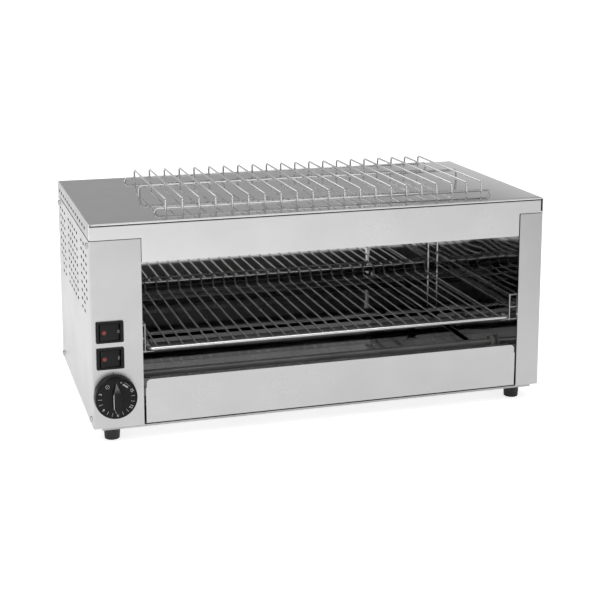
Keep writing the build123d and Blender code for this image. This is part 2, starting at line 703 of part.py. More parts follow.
def switch_blades():
    """Terminal blades behind both switches."""
    blades = []
    for z in SWITCH_ZS.values():
        for row in (-1, 1):
            for column in (-1, 0, 1):
                place = facing_back(LEFT + SWITCH_X + column * BLADE_PITCH, FRONT + HOUSING_DEPTH,
                                    BASE + z + row * BLADE_W * 0.8)
                blades.append(place * Pos(0, 0, BLADE_L / 2) * Box(BLADE_T, BLADE_W, BLADE_L))
    return group(blades)


def on_timer(forward):
    """Place on the timer's axis, forward of the panel's front face."""
    return facing_front(LEFT + TIMER_X, FRONT - forward, BASE + TIMER_Z)


def timer_body():
    """Clockwork timer behind the panel, with a neck through it and a bore for the shaft."""
    body = extrude(Rectangle(TIMER_W, TIMER_H), amount=-TIMER_DEPTH) + prism(TIMER_NECK_D, SHEET, 12)
    body -= Pos(0, 0, -SHAFT_SUNK) * disc(SHAFT_D + 2 * SHAFT_CLEAR, SHAFT_SUNK + 2 * SHEET)
    return on_timer(-SHEET) * body


def timer_shaft():
    """Shaft of the timer, from inside its body to the bottom of the knob's bore."""
    start = -SHEET - SHAFT_SUNK + REST_GAP
    return on_timer(start) * disc(SHAFT_D, KNOB_GAP + KNOB_BORE_DEPTH - start)


def timer_knob():
    """Black knob, a round skirt that carries the scale and a tapered grip with a pointed upper end."""
    taper = math.degrees(math.atan((KNOB_D - KNOB_TIP_D) / 2 / KNOB_SKIRT))
    skirt = extrude(RegularPolygon(KNOB_D / 2, 36), amount=KNOB_SKIRT, taper=taper)
    skirt = chamfer(skirt.faces().sort_by(Axis.Z)[-1].edges(), KNOB_EDGE)
    half, end = GRIP_W / 2, GRIP_END_W / 2
    outline = Polygon((0, GRIP_TIP), (-half, GRIP_SHOULDER), (-half, GRIP_WAIST), (-end, GRIP_END), (end, GRIP_END),
                      (half, GRIP_WAIST), (half, GRIP_SHOULDER), align=None)
    grip = Pos(0, 0, KNOB_SKIRT) * extrude(outline, amount=GRIP_H, taper=GRIP_DRAFT)
    top = KNOB_SKIRT + GRIP_H
    ramp = Polygon((GRIP_TIP, KNOB_SKIRT), (GRIP_TIP + 1, top + 1), (GRIP_TIP - GRIP_RAMP, top + 1),
                   (GRIP_TIP - GRIP_RAMP, top), align=None)
    grip -= extrude(Plane.YZ * ramp, amount=GRIP_W, both=True)
    return on_timer(KNOB_GAP) * (skirt + grip - disc(SHAFT_D, KNOB_BORE_DEPTH))


def on_gland(outward):
    """Place on the cable gland's axis, outward of the back cover's outer face."""
    return facing_back(LEFT + GLAND_X, BACK + outward, BASE + GLAND_Z)


def cable_gland():
    """Cable gland in the back cover, open right through for the supply cable."""
    thread_l = SHEET + GLAND_INSIDE_L
    gland = prism(GLAND_FLANGE_D, GLAND_FLANGE_L, 6)
    taper = math.degrees(math.atan((GLAND_DOME_D - GLAND_DOME_TIP_D) / 2 / GLAND_DOME_L))
    gland += Pos(0, 0, GLAND_FLANGE_L) * extrude(RegularPolygon(GLAND_DOME_D / 2, 16), amount=GLAND_DOME_L,
                                                 taper=taper)
    gland += Pos(0, 0, -thread_l) * prism(GLAND_THREAD_D, thread_l, 16)
    return on_gland(0) * (gland - Pos(0, 0, -thread_l) * disc(GLAND_BORE_D, thread_l + GLAND_OUT))


def gland_nut():
    """Nut of the cable gland, inside the back cover."""
    nut = prism(GLAND_NUT_D, GLAND_NUT_L, 6) - prism(GLAND_THREAD_D + 2 * BUSH_CLEAR, GLAND_NUT_L, 16)
    return on_gland(-SHEET - GLAND_NUT_L) * nut


def terminal_block():
    """Supply terminal block on the base plate, with one well for each lead."""
    x, y = LEFT + GLAND_X, FRONT + TERMINAL_Y
    body = block(x - TERMINAL_W / 2, x + TERMINAL_W / 2, y - TERMINAL_D / 2, y + TERMINAL_D / 2, FLOOR_TOP,
                 FLOOR_TOP + TERMINAL_H)
    pitch = TERMINAL_W / TERMINAL_WAYS
    for way in range(TERMINAL_WAYS):
        middle = x + pitch * (way - (TERMINAL_WAYS - 1) / 2)
        body -= block(middle - pitch * 0.3, middle + pitch * 0.3, y - TERMINAL_D * 0.3, y + TERMINAL_D * 0.3,
                      FLOOR_TOP + TERMINAL_H * 0.6, FLOOR_TOP + TERMINAL_H)
    return body


def casing_nodes():
    """Covers, walls and frame of the casing."""
    return {"top_cover": top_cover(),
            "front_header": front_header(),
            "rear_crossbar": rear_crossbar(),
            "left_side_cover": left_side_cover(),
            "right_side_cover": right_side_cover(),
            "back_cover": back_cover(),
            "base_plate": base_plate(),
            "cavity_left_wall": cavity_side_wall(CAVITY_LEFT, -1),
            "cavity_right_wall": cavity_side_wall(CAVITY_RIGHT, 1),
            "cavity_back_wall": cavity_back_wall(),
            "upper_reflector": upper_reflector(),
            "cover_screws": cover_screws()}


def foot_nodes():
    """The four feet."""
    return {f"foot_{name}": foot(*place) for name, place in foot_places().items()}


def heater_nodes():
    """Quartz tubes with their coils, bushes and end caps."""
    nodes = {f"quartz_tube_{name}": quartz_tube(*place) for name, place in tube_places().items()}
    nodes["heating_coils"] = heating_coils()
    nodes["tube_bushes"] = both_ends(tube_bush(), -BUSH_FLANGE_L)
    nodes["tube_caps"] = both_ends(prism(TUBE_D, CAP_L, 6), TUBE_OVERRUN)
    return nodes


def tray_nodes():
    """Crumb tray."""
    return {"tray_front": tray_front(), "tray_pan": tray_pan()}


def shelf_nodes():
    """Wire shelf and the rails that carry it."""
    return {"shelf_rail_left": shelf_rail(CAVITY_LEFT, -1),
            "shelf_rail_right": shelf_rail(CAVITY_RIGHT, 1),
            "shelf_front_bar": shelf_bar(),
            "shelf_wires": shelf_wires(),
            "shelf_cross_wires": shelf_cross_wires(),
            "shelf_rear_bar": shelf_rear_bar()}


def rack_nodes():
    """Warming rack on the top cover."""
    return {"rack_wires": rack_wires(), **rack_rods()}


def control_nodes():
    """Switches, timer and power inlet."""
    nodes = {"timer_body": timer_body(),
             "timer_shaft": timer_shaft(),
             "timer_knob": timer_knob(),
             "switch_blades": switch_blades(),
             "cable_gland": cable_gland(),
             "gland_nut": gland_nut(),
             "terminal_block": terminal_block()}
    for name, height in SWITCH_ZS.items():
        nodes[f"switch_housing_{name}"] = switch_housing(height)
        nodes[f"switch_rocker_{name}"] = switch_rocker(height)
        nodes[f"switch_lens_{name}"] = switch_lens(height)
    return nodes


def main():
    """Build every node and write its STEP file."""
    os.makedirs("parts", exist_ok=True)
    nodes = {**casing_nodes(), **foot_nodes(), **heater_nodes(), **tray_nodes(), **shelf_nodes(), **rack_nodes(),
             **control_nodes()}
    for name, shape in nodes.items():
        export_step(shape, f"parts/{name}.step")
    print(f"{len(nodes)} nodes written")


main()
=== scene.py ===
"""Counter-top shelf toaster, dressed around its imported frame.

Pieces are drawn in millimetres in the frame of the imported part, X to the right, Y to the back and Z up, and
are scaled to metres when their mesh is finished.
"""
from __future__ import annotations

import json
import logging
import math
from dataclasses import dataclass
from enum import Enum
from typing import Iterable, Sequence

import bmesh
import bpy
from mathutils import Matrix, Vector

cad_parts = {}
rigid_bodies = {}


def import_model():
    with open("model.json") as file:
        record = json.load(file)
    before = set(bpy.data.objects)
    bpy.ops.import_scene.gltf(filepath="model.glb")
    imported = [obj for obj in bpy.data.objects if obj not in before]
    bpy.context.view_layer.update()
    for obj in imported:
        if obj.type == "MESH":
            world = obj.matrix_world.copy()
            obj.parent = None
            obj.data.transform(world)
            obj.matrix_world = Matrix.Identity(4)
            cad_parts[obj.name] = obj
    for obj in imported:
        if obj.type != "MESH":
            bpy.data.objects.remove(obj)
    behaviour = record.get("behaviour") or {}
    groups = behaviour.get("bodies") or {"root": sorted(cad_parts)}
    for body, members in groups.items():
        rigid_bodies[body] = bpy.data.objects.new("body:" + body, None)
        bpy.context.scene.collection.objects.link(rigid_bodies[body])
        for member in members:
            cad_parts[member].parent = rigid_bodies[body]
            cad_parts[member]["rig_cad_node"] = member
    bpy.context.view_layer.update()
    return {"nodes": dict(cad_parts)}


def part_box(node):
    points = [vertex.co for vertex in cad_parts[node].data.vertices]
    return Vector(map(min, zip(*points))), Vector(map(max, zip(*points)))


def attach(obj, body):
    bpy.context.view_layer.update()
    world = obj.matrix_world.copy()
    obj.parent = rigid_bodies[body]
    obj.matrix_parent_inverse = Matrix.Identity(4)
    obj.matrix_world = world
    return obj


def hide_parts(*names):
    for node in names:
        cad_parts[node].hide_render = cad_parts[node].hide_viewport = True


LOG = logging.getLogger("toaster")
MM = 0.001
QUARTER = math.pi / 2
WHITE = (1.0, 1.0, 1.0, 1.0)
Point = tuple[float, float, float]
Flat = tuple[float, float]
Colour = tuple[float, float, float]
Socket = bpy.types.NodeSocket
Tree = bpy.types.NodeTree
Vert = bmesh.types.BMVert
Edge = bmesh.types.BMEdge
Face = bmesh.types.BMFace


class Body(Enum):
    """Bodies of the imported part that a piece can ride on."""

    CASING = "casing"
    SHELF = "shelf"
    RACK = "rack"
    TIMER = "timer"
    ROCKER_UPPER = "rocker_upper"
    ROCKER_LOWER = "rocker_lower"


class Slot(Enum):
    """Material slots of the record."""

    CASING_STEEL = "casing_steel"
    FRAME_STEEL = "frame_steel"
    CAVITY_STEEL = "cavity_steel"
    SCREW_STEEL = "screw_steel"
    CHROMED_WIRE = "chromed_wire"
    FOOT_RUBBER = "foot_rubber"
    QUARTZ = "quartz"
    COIL_WIRE = "coil_wire"
    CERAMIC = "ceramic"
    HIDDEN_PLASTIC = "hidden_plastic"
    BLADE_BRASS = "blade_brass"
    BLACK_PLASTIC = "black_plastic"
    LENS_RED = "lens_red"


class Along(Enum):
    """Direction of the rolling grain on a sheet, as the scale of its pattern on X, Y and Z."""

    X = (6.0, 900.0, 900.0)
    Y = (900.0, 6.0, 900.0)
    Z = (900.0, 900.0, 6.0)


class Side(Enum):
    """Side of the casing that a piece faces, in quarter turns from the front."""

    LEFT = -1
    FRONT = 0
    RIGHT = 1
    BACK = 2


# Materials


class NodeSheet:
    """A node tree with short ways to add and join nodes."""

    def __init__(self, tree: Tree) -> None:
        """Keep the node tree of a material, world or group."""
        self.tree = tree

    def feed(self, node: bpy.types.Node, inputs: dict[str | int, object]) -> None:
        """Link or set inputs of a node.

        Args:
            node: the node.
            inputs: a socket to link or a value to set, by the input's name or number.
        """
        for key, value in inputs.items():
            if isinstance(value, Socket):
                self.tree.links.new(value, node.inputs[key])
            else:
                node.inputs[key].default_value = value

    def add(self, kind: str, inputs: dict[str | int, object], output: str | int = 0,
            **settings: object) -> Socket:
        """Add a node.

        Args:
            kind: its type, without the ShaderNode prefix.
            inputs: a socket to link or a value to set, by the input's name or number.
            output: name or number of the output that is wanted.
            settings: attributes of the node.

        Returns:
            The wanted output.
        """
        node = self.tree.nodes.new("ShaderNode" + kind)
        for name, value in settings.items():
            setattr(node, name, value)
        self.feed(node, inputs)
        return node.outputs[output]

    def place(self, scale: Point = (1.0, 1.0, 1.0)) -> Socket:
        """Object coordinates, scaled on each axis."""
        return self.add("Mapping", {"Vector": self.add("TexCoord", {}, "Object"), "Scale": scale}, "Vector")

    def spread(self, value: Socket, low: float | Socket, high: float | Socket, start: float = 0.3,
               end: float = 0.7) -> Socket:
        """A value stretched so that start becomes low and end becomes high."""
        ends = {"From Min": start, "From Max": end, "To Min": low, "To Max": high}
        return self.add("MapRange", {"Value": value, **ends}, "Result")


class SharedGroups:
    """Effects that several finishes use, each one a node group with named inputs and outputs."""

    def __init__(self) -> None:
        """Build every group once."""
        self.grain = self.rolling_grain()
        self.marks = self.handling_marks()
        self.shade = self.shaded_colour()
        self.waves = self.sheet_waves()

    @staticmethod
    def start(name: str, scale: float, detail: float, roughness: float = 0.5,
              **others: tuple[str, object]) -> tuple[NodeSheet, bpy.types.NodeOutputs, Socket]:
        """Begin a group with the noise that its effect comes from.

        Args:
            name: the group's name.
            scale: default scale of the noise.
            detail: number of its octaves.
            roughness: weight of its finer octaves.
            others: kind and default of each further input.

        Returns:
            The group's sheet, its inputs and the noise.
        """
        tree = bpy.data.node_groups.new(name, "ShaderNodeTree")
        sheet = NodeSheet(tree)
        inputs = {"Vector": ("Vector", (0.0, 0.0, 0.0)), **others, "Scale": ("Float", scale)}
        for label, (kind, default) in inputs.items():
            socket = tree.interface.new_socket(name=label, in_out="INPUT", socket_type="NodeSocket" + kind)
            socket.default_value = default
        given = tree.nodes.new("NodeGroupInput").outputs
        noise = sheet.add("TexNoise", {"Vector": given["Vector"], "Scale": given["Scale"], "Detail": detail,
                                       "Roughness": roughness}, "Fac")
        return sheet, given, noise

    @staticmethod
    def close(sheet: NodeSheet, label: str, kind: str, result: Socket) -> Tree:
        """End a group with its output.

        Args:
            sheet: the group's sheet.
            label: the output's name.
            kind: the output's kind.
            result: the socket that feeds it.

        Returns:
            The group's tree.
        """
        sheet.tree.interface.new_socket(name=label, in_out="OUTPUT", socket_type="NodeSocket" + kind)
        sheet.feed(sheet.tree.nodes.new("NodeGroupOutput"), {label: result})
        return sheet.tree

    def rolling_grain(self) -> Tree:
        """Fine lines along a rolled and brushed sheet, as a height."""
        sheet, _, lines = self.start("rolling grain", 1.0, 3.0)
        return self.close(sheet, "Height", "Float", sheet.spread(lines, 0.0, 1.0))

    def handling_marks(self) -> Tree:
        """Soft cloudy marks from wiping, as a value between two ends."""
        sheet, given, cloud = self.start("handling marks", 12.0, 4.0, 0.6, Low=("Float", 0.2),
                                         High=("Float", 0.3))
        value = sheet.spread(cloud, given["Low"], given["High"], 0.35, 0.65)
        return self.close(sheet, "Value", "Float", value)

    def shaded_colour(self) -> Tree:
        """Two close shades of one colour, mixed in soft patches."""
        sheet, given, patch = self.start("shaded colour", 20.0, 3.0, Light=("Color", WHITE),
                                         Dark=("Color", WHITE))
        share = sheet.spread(patch, 0.0, 1.0)
        mixed = sheet.add("Mix", {"Factor": share, 6: given["Light"], 7: given["Dark"]}, 2, data_type="RGBA")
        return self.close(sheet, "Color", "Color", mixed)

    def sheet_waves(self) -> Tree:
        """Broad shallow waves of thin sheet metal, as a height."""
        sheet, _, broad = self.start("sheet waves", 9.0, 1.0)
        return self.close(sheet, "Height", "Float", broad)


@dataclass(frozen=True)
class Finish:
    """One finish of the appliance and everything its material needs.

    Its colour lies between light and dark, each a grey or a colour, in patches of one scale. Its roughness
    lies between low and high, in marks of another. Grain, waves and pebble are heights in metres, and lean is
    a slope of the shading.
    """

    name: str
    slot: Slot | None
    light: float | Colour
    dark: float | Colour
    low: float
    high: float
    metallic: float = 0.0
    patch: float = 20.0
    marks: float = 14.0
    along: Along | None = None
    grain: float = 0.0
    waves: float = 0.0
    pebble: float = 0.0
    pebble_scale: float = 2500.0
    lean: float = 0.0
    coat: float = 0.0
    specular: float = 0.5

    def build(self, groups: SharedGroups) -> bpy.types.Material:
        """Make the material.

        Args:
            groups: the shared node groups.

        Returns:
            The new material.
        """
        material = bpy.data.materials.new(self.name)
        material.use_nodes = True
        sheet = NodeSheet(material.node_tree)
        plain = sheet.place()
        light, dark = ((*shade, 1.0) if isinstance(shade, tuple) else (shade, shade, shade, 1.0)
                       for shade in (self.light, self.dark))
        colour = sheet.add("Group", {"Vector": plain, "Light": light, "Dark": dark, "Scale": self.patch},
                           node_tree=groups.shade)
        ends = {"Low": self.low, "High": self.high}
        rough = sheet.add("Group", {"Vector": plain, "Scale": self.marks, **ends}, node_tree=groups.marks)
        sheet.feed(material.node_tree.nodes["Principled BSDF"],
                   {"Base Color": colour, "Roughness": rough, "Metallic": self.metallic,
                    "Coat Weight": self.coat, "Specular IOR Level": self.specular,
                    **self.relief(sheet, groups, plain)})
        return material

    def relief(self, sheet: NodeSheet, groups: SharedGroups, plain: Socket) -> dict[str, Socket]:
        """Join the finish's waves, grain, pebbling and lean in one normal.

        Args:
            sheet: the material's node sheet.
            groups: the shared node groups.
            plain: plain object coordinates.

        Returns:
            The socket for the shader's normal input, or nothing where the finish is smooth.
        """
        layers = []
        if self.waves:
            layers.append((sheet.add("Group", {"Vector": plain}, node_tree=groups.waves), self.waves))
        if self.along:
            stretched = sheet.place(self.along.value)
            layers.append((sheet.add("Group", {"Vector": stretched}, node_tree=groups.grain), self.grain))
        if self.pebble:
            inputs = {"Vector": plain, "Scale": self.pebble_scale, "Detail": 2.0}
            layers.append((sheet.add("TexNoise", inputs, "Fac"), self.pebble))
        if self.lean:
            upright = sheet.add("SeparateXYZ", {0: plain}, "Z")
            layers.append((sheet.spread(upright, 0.0, -self.lean, 0.0, 1.0), 1.0))
        normal = {}
        for height, distance in layers:
            inputs = {"Strength": 1.0, "Distance": distance, "Height": height, **normal}
            normal = {"Normal": sheet.add("Bump", inputs, "Normal")}
        return normal


FINISHES = (
    Finish("satin front steel", Slot.CASING_STEEL, 0.62, 0.59, 0.26, 0.34, 1.0, along=Along.X, grain=3e-6),
    # The header's steel is a lighter copy of the front steel: painted light on the header.
    Finish("header steel with painted light", Slot.CASING_STEEL, 0.74, 0.7, 0.26, 0.34, 1.0, along=Along.X, grain=3e-6),
    Finish("satin side steel", Slot.CASING_STEEL, 0.6, 0.57, 0.28, 0.36, 1.0, along=Along.Z, grain=5e-6),
    Finish("bright top steel", Slot.CASING_STEEL, 0.6, 0.56, 0.04, 0.08, 1.0, along=Along.X, grain=2e-6,
           waves=6e-5),
    # The top cover's side flanges take a darker copy of its steel: painted shade on faces that look sideways.
    Finish("painted shade flange", Slot.CASING_STEEL, 0.46, 0.43, 0.28, 0.36, 1.0, along=Along.Y, grain=4e-6),
    # A near-white steel that paints a highlight on the top cover's bends and the front of its hem.
    Finish("painted highlight folds", Slot.CAVITY_STEEL, 0.95, 0.9, 0.34, 0.42, 1.0),
    # A near-white steel for the strip in the cavity's back corner: a painted highlight.
    Finish("painted corner highlight", Slot.CAVITY_STEEL, 0.95, 0.9, 0.16, 0.22, 1.0, lean=0.12),
    Finish("mirror steel", Slot.CAVITY_STEEL, 0.6, 0.5, 0.02, 0.05, 1.0, marks=9.0, waves=1.5e-4),
    Finish("wavy mirror steel", Slot.CAVITY_STEEL, 0.56, 0.46, 0.03, 0.08, 1.0, marks=9.0, waves=1.2e-3),
    Finish("tray steel", Slot.CAVITY_STEEL, 0.44, 0.36, 0.02, 0.06, 1.0, marks=9.0, waves=2e-4),
    # Near-black and dark grey strips that paint the shadow in the gaps between parts.
    Finish("painted seam shadow", Slot.CASING_STEEL, 0.03, 0.02, 0.6, 0.8, specular=0.1),
    Finish("painted seam shade", Slot.CASING_STEEL, 0.17, 0.13, 0.6, 0.8, specular=0.1),
    # Cut edges of slots and holes, far darker than the sheet: painted shade inside the slots.
    Finish("painted shade cut edges", Slot.CASING_STEEL, 0.16, 0.1, 0.45, 0.6, 1.0),
    Finish("frame steel", Slot.FRAME_STEEL, 0.5, 0.42, 0.25, 0.4, 1.0),
    Finish("screw steel", Slot.SCREW_STEEL, (0.6, 0.6, 0.59), (0.5, 0.5, 0.49), 0.2, 0.3, 1.0),
    Finish("chromed wire", Slot.CHROMED_WIRE, 0.72, 0.62, 0.07, 0.13, 1.0, patch=60.0),
    Finish("polished bar", Slot.CHROMED_WIRE, 0.95, 0.9, 0.2, 0.28, 1.0, patch=60.0),
    Finish("heat dulled wire", Slot.CHROMED_WIRE, 0.8, (0.66, 0.66, 0.65), 0.16, 0.28, 1.0, patch=40.0),
    # A dark copy of the chromed wire, painting shade on the rails; the tube clips share it.
    Finish("shade darkened wire", Slot.CHROMED_WIRE, 0.4, 0.3, 0.16, 0.28, 1.0, patch=40.0),
    # A dark copy of the wire: painted shade on the bar's underside and on the cross wires under the shelf.
    Finish("underside shade wire", Slot.CHROMED_WIRE, 0.2, 0.13, 0.25, 0.4, 1.0, patch=40.0),
    Finish("foot rubber", Slot.FOOT_RUBBER, 0.025, 0.014, 0.5, 0.7, pebble=3e-5),
    Finish("milky quartz", Slot.QUARTZ, 0.2, 0.13, 0.12, 0.25, patch=16.0, coat=0.5),
    Finish("coil wire", Slot.COIL_WIRE, (0.25, 0.22, 0.2), (0.16, 0.14, 0.13), 0.4, 0.55, 1.0),
    Finish("bush ceramic", Slot.CERAMIC, (0.24, 0.235, 0.22), (0.17, 0.165, 0.155), 0.4, 0.6, patch=160.0,
           pebble=3e-5),
    Finish("grey moulding", Slot.HIDDEN_PLASTIC, (0.2, 0.2, 0.19), (0.16, 0.16, 0.15), 0.45, 0.6,
           pebble=2e-5),
    Finish("terminal brass", Slot.BLADE_BRASS, (0.72, 0.52, 0.22), (0.6, 0.42, 0.18), 0.25, 0.4, 1.0),
    Finish("black moulding", Slot.BLACK_PLASTIC, 0.016, 0.012, 0.32, 0.45, pebble=2e-5, specular=0.2),
    Finish("knob moulding", Slot.BLACK_PLASTIC, 0.014, 0.01, 0.22, 0.3, pebble=1.2e-5, specular=0.17),
    Finish("grip moulding", Slot.BLACK_PLASTIC, 0.012, 0.01, 0.12, 0.2, coat=0.5),
    # A near-white metal on the grip's left edge paints its highlight.
    Finish("painted grip highlight", Slot.BLACK_PLASTIC, 0.75, 0.7, 0.2, 0.28, 1.0),
    Finish("red lens", Slot.LENS_RED, (0.3, 0.03, 0.02), (0.2, 0.015, 0.01), 0.1, 0.2, patch=300.0,
           coat=0.3),
    Finish("white print", None, (0.62, 0.62, 0.61), (0.5, 0.5, 0.49), 0.45, 0.6, patch=900.0),
    Finish("grey print", None, 0.1, 0.06, 0.45, 0.6, patch=900.0),
)


class Finishes:
    """Every finish of the appliance, made once."""

    def __init__(self) -> None:
        """Build all materials."""
        groups = SharedGroups()
        self.finishes = {finish.name: finish for finish in FINISHES}
        self.materials = {finish.name: finish.build(groups) for finish in FINISHES}

    def dress(self, piece: bpy.types.Object, name: str) -> None:
        """Give a piece one finish.

        Args:
            piece: a new piece or a carried-over CAD node.
            name: the finish.
        """
        material = self.materials[name]
        if piece.material_slots:
            for slot in piece.material_slots:
                slot.material = material
        else:
            piece.data.materials.append(material)


# Mesh tools


def only(kind: type, items: Iterable[object]) -> list:
    """Elements of one kind among those that a mesh operator made."""
    return [item for item in items if isinstance(item, kind)]


def facing(side: Side, x: float, y: float, z: float) -> Matrix:
    """Place on one side of the casing, with its own Z outwards and its own Y up."""
    turn = Matrix.Rotation(side.value * QUARTER, 4, "Z") @ Matrix.Rotation(QUARTER, 4, "X")
    return Matrix.Translation((x, y, z)) @ turn


def rectangle(x0: float, y0: float, x1: float, y1: float) -> list[Flat]:
    """Corners of a rectangle, counter-clockwise."""
    return [(x0, y0), (x1, y0), (x1, y1), (x0, y1)]


def polygon(radius: float, count: int, start: float = 0.0, up: float = 0.0) -> list[Flat]:
    """Corners of a regular polygon, counter-clockwise from an angle, with its middle moved up."""
    angles = [start + math.tau * step / count for step in range(count)]
    return [(radius * math.cos(angle), up + radius * math.sin(angle)) for angle in angles]


def rounded_box(width: float, height: float, radius: float, steps: int = 3) -> list[Flat]:
    """Outline of a rectangle with round corners, centred on its middle.

    Args:
        width: its width.
        height: its height.
        radius: radius of its corners.
        steps: number of flats at each corner.

    Returns:
        Its points, counter-clockwise.
    """
    points = []
    for index, (sx, sy) in enumerate(((1, 1), (-1, 1), (-1, -1), (1, -1))):
        for step in range(steps + 1):
            angle = QUARTER * (index + step / steps)
            points.append((sx * (width / 2 - radius) + radius * math.cos(angle),
                           sy * (height / 2 - radius) + radius * math.sin(angle)))
    return points


class Blank:
    """A mesh in the making, in millimetres."""

    def __init__(self) -> None:
        """Start with an empty mesh."""
        self.mesh = bmesh.new()
        self.hole_rims: set[Vert] = set()

    @property
    def shape(self) -> list:
        """Every vertex, edge and face so far."""
        return self.mesh.verts[:] + self.mesh.edges[:] + self.mesh.faces[:]

    def since(self, before: set[Vert]) -> tuple[list[Vert], list[Face]]:
        """Vertices that weren't there before, and their faces."""
        new = [vert for vert in self.mesh.verts if vert not in before]
        return new, list(dict.fromkeys(face for vert in new for face in vert.link_faces))

    def place(self, matrix: Matrix, verts: Iterable[Vert] | None = None) -> None:
        """Move some vertices, or else all, by a matrix."""
        moved = self.mesh.verts[:] if verts is None else list(verts)
        bmesh.ops.transform(self.mesh, matrix=matrix, verts=moved)

    def face_up(self, faces: Iterable[Face] | None = None) -> None:
        """Turn some flat faces, or else all, upwards."""
        down = [face for face in (self.mesh.faces if faces is None else faces) if face.normal.z < 0]
        bmesh.ops.reverse_faces(self.mesh, faces=down)

    def face_out(self, faces: Sequence[Face] | None = None) -> None:
        """Turn some faces, or else all, outwards."""
        bmesh.ops.recalc_face_normals(self.mesh, faces=self.mesh.faces[:] if faces is None else faces)

    def absorb(self, other: Blank) -> None:
        """Take over another blank's mesh."""
        spare = bpy.data.meshes.new("spare")
        other.mesh.to_mesh(spare)
        other.mesh.free()
        self.mesh.from_mesh(spare)
        bpy.data.meshes.remove(spare)

    def repeat(self, pitch: float, count: int) -> None:
        """Repeat everything so far in a row along X.

        Args:
            pitch: distance between neighbours.
            count: number in the row.
        """
        shape = self.shape
        for index in range(1, count):
            made = bmesh.ops.duplicate(self.mesh, geom=shape)["geom"]
            bmesh.ops.translate(self.mesh, vec=(pitch * index, 0.0, 0.0), verts=only(Vert, made))

    def wire(self, points: Sequence[Point], diameter: float, bend: float = 0.0, sides: int = 12,
             steps: int = 5) -> None:
        """Round wire along straight runs with a bend at each corner.

        Args:
            points: corners of its middle line.
            diameter: its thickness.
            bend: middle radius of its bends.
            sides: number of its flats.
            steps: number of straight pieces in each bend.
        """
        path = [Vector(point) for point in points]
        aim = (path[1] - path[0]).to_track_quat("Z", "Y").to_matrix().to_4x4()
        ring = bmesh.ops.create_circle(self.mesh, cap_ends=True, segments=sides, radius=diameter / 2,
                                       matrix=Matrix.Translation(path[0]) @ aim)["verts"]
        face = ring[0].link_faces[0]
        here = path[0]
        for before, corner, after in zip(path, path[1:], path[2:] + [None]):
            ahead = (corner - before).normalized()
            angle = ahead.angle((after - corner).normalized()) if after else 0.0
            reach = bend * math.tan(angle / 2)
            stop = corner - ahead * reach
            face = self.push(face, Matrix.Translation(stop - here))
            here = stop
            if after and angle > 0.001:
                turned = (after - corner).normalized()
                axis = ahead.cross(turned).normalized()
                middle = stop + axis.cross(ahead).normalized() * bend
                turn = Matrix.Rotation(angle / steps, 4, axis)
                about = Matrix.Translation(middle) @ turn @ Matrix.Translation(-middle)
                for _ in range(steps):
                    face = self.push(face, about)
                    here = about @ here

    def push(self, face: Face, matrix: Matrix) -> Face:
        """Extrude one face and move the new one.

        Args:
            face: the face to extrude.
            matrix: move of the new face.

        Returns:
            The new face.
        """
        made = bmesh.ops.extrude_face_region(self.mesh, geom=[face])["geom"]
        self.place(matrix, only(Vert, made))
        if face.is_valid:
            others = [near for edge in face.edges for near in edge.link_faces if near is not face]
            if len(others) > len(face.edges):
                bmesh.ops.delete(self.mesh, geom=[face], context="FACES_ONLY")
        return only(Face, made)[0]

    def prism(self, outline: Sequence[Point], along: Point) -> list[Vert]:
        """Extrude a closed outline.

        Args:
            outline: its corners.
            along: move of its copy.

        Returns:
            The copy's corners.
        """
        face = self.mesh.faces.new([self.mesh.verts.new(point) for point in outline])
        moved = only(Vert, bmesh.ops.extrude_face_region(self.mesh, geom=[face])["geom"])
        bmesh.ops.translate(self.mesh, vec=along, verts=moved)
        return moved

    def lathe(self, profile: Sequence[Flat], matrix: Matrix, steps: int = 48) -> None:
        """Turned shape.

        Args:
            profile: pairs of radius and height.
            matrix: place of its axis, whose Z the heights follow.
            steps: number of its flats.
        """
        verts = [self.mesh.verts.new((radius, 0.0, height)) for radius, height in profile]
        edges = [self.mesh.edges.new(pair) for pair in zip(verts, verts[1:])]
        before = set(self.mesh.verts) - set(verts)
        bmesh.ops.spin(self.mesh, geom=verts + edges, cent=(0, 0, 0), axis=(0, 0, 1), angle=math.tau,
                       steps=steps, use_merge=True)
        bmesh.ops.remove_doubles(self.mesh, verts=self.since(before)[0], dist=0.0005)
        new, faces = self.since(before)
        self.face_out(faces)
        self.place(matrix, new)

    def loop(self, points: Sequence[Flat]) -> list[Edge]:
        """Closed outline in the plane Z = 0, as its edges."""
        verts = [self.mesh.verts.new((*point, 0.0)) for point in points]
        return [self.mesh.edges.new(pair) for pair in zip(verts, verts[1:] + verts[:1])]

    def round_hole(self, place: Flat, length: float, width: float, segments: int = 12,
                   upright: bool = False) -> list[Edge]:
        """Outline of a round hole, or of a slot with round ends where length is more than width.

        Args:
            place: its middle.
            length: its size from end to end.
            width: its size across.
            segments: number of its flats.
            upright: True where its length runs along Y.

        Returns:
            Its edges.
        """
        start = Matrix.Rotation(math.pi / segments, 4, "Z")
        verts = bmesh.ops.create_circle(self.mesh, cap_ends=False, segments=segments, radius=width / 2,
                                        matrix=start)["verts"]
        for vert in verts:
            vert.co.x += math.copysign((length - width) / 2, vert.co.x)
        turn = Matrix.Rotation(QUARTER if upright else 0.0, 4, "Z")
        self.place(Matrix.Translation((*place, 0.0)) @ turn, verts)
        return list(dict.fromkeys(edge for vert in verts for edge in vert.link_edges))

    def fill(self, edges: list[Edge]) -> None:
        """Fill closed outlines by faces, with any outline inside another as a hole."""
        bmesh.ops.triangle_fill(self.mesh, edges=edges, use_beauty=True)

    def plate(self, outline: Sequence[Flat], holes: Iterable[list[Edge]] = ()) -> None:
        """Flat plate.

        Args:
            outline: its corners.
            holes: edges of each hole.
        """
        edges = self.loop(outline)
        for hole in holes:
            edges += hole
            self.hole_rims |= {vert for edge in hole for vert in edge.verts}
        self.fill(edges)

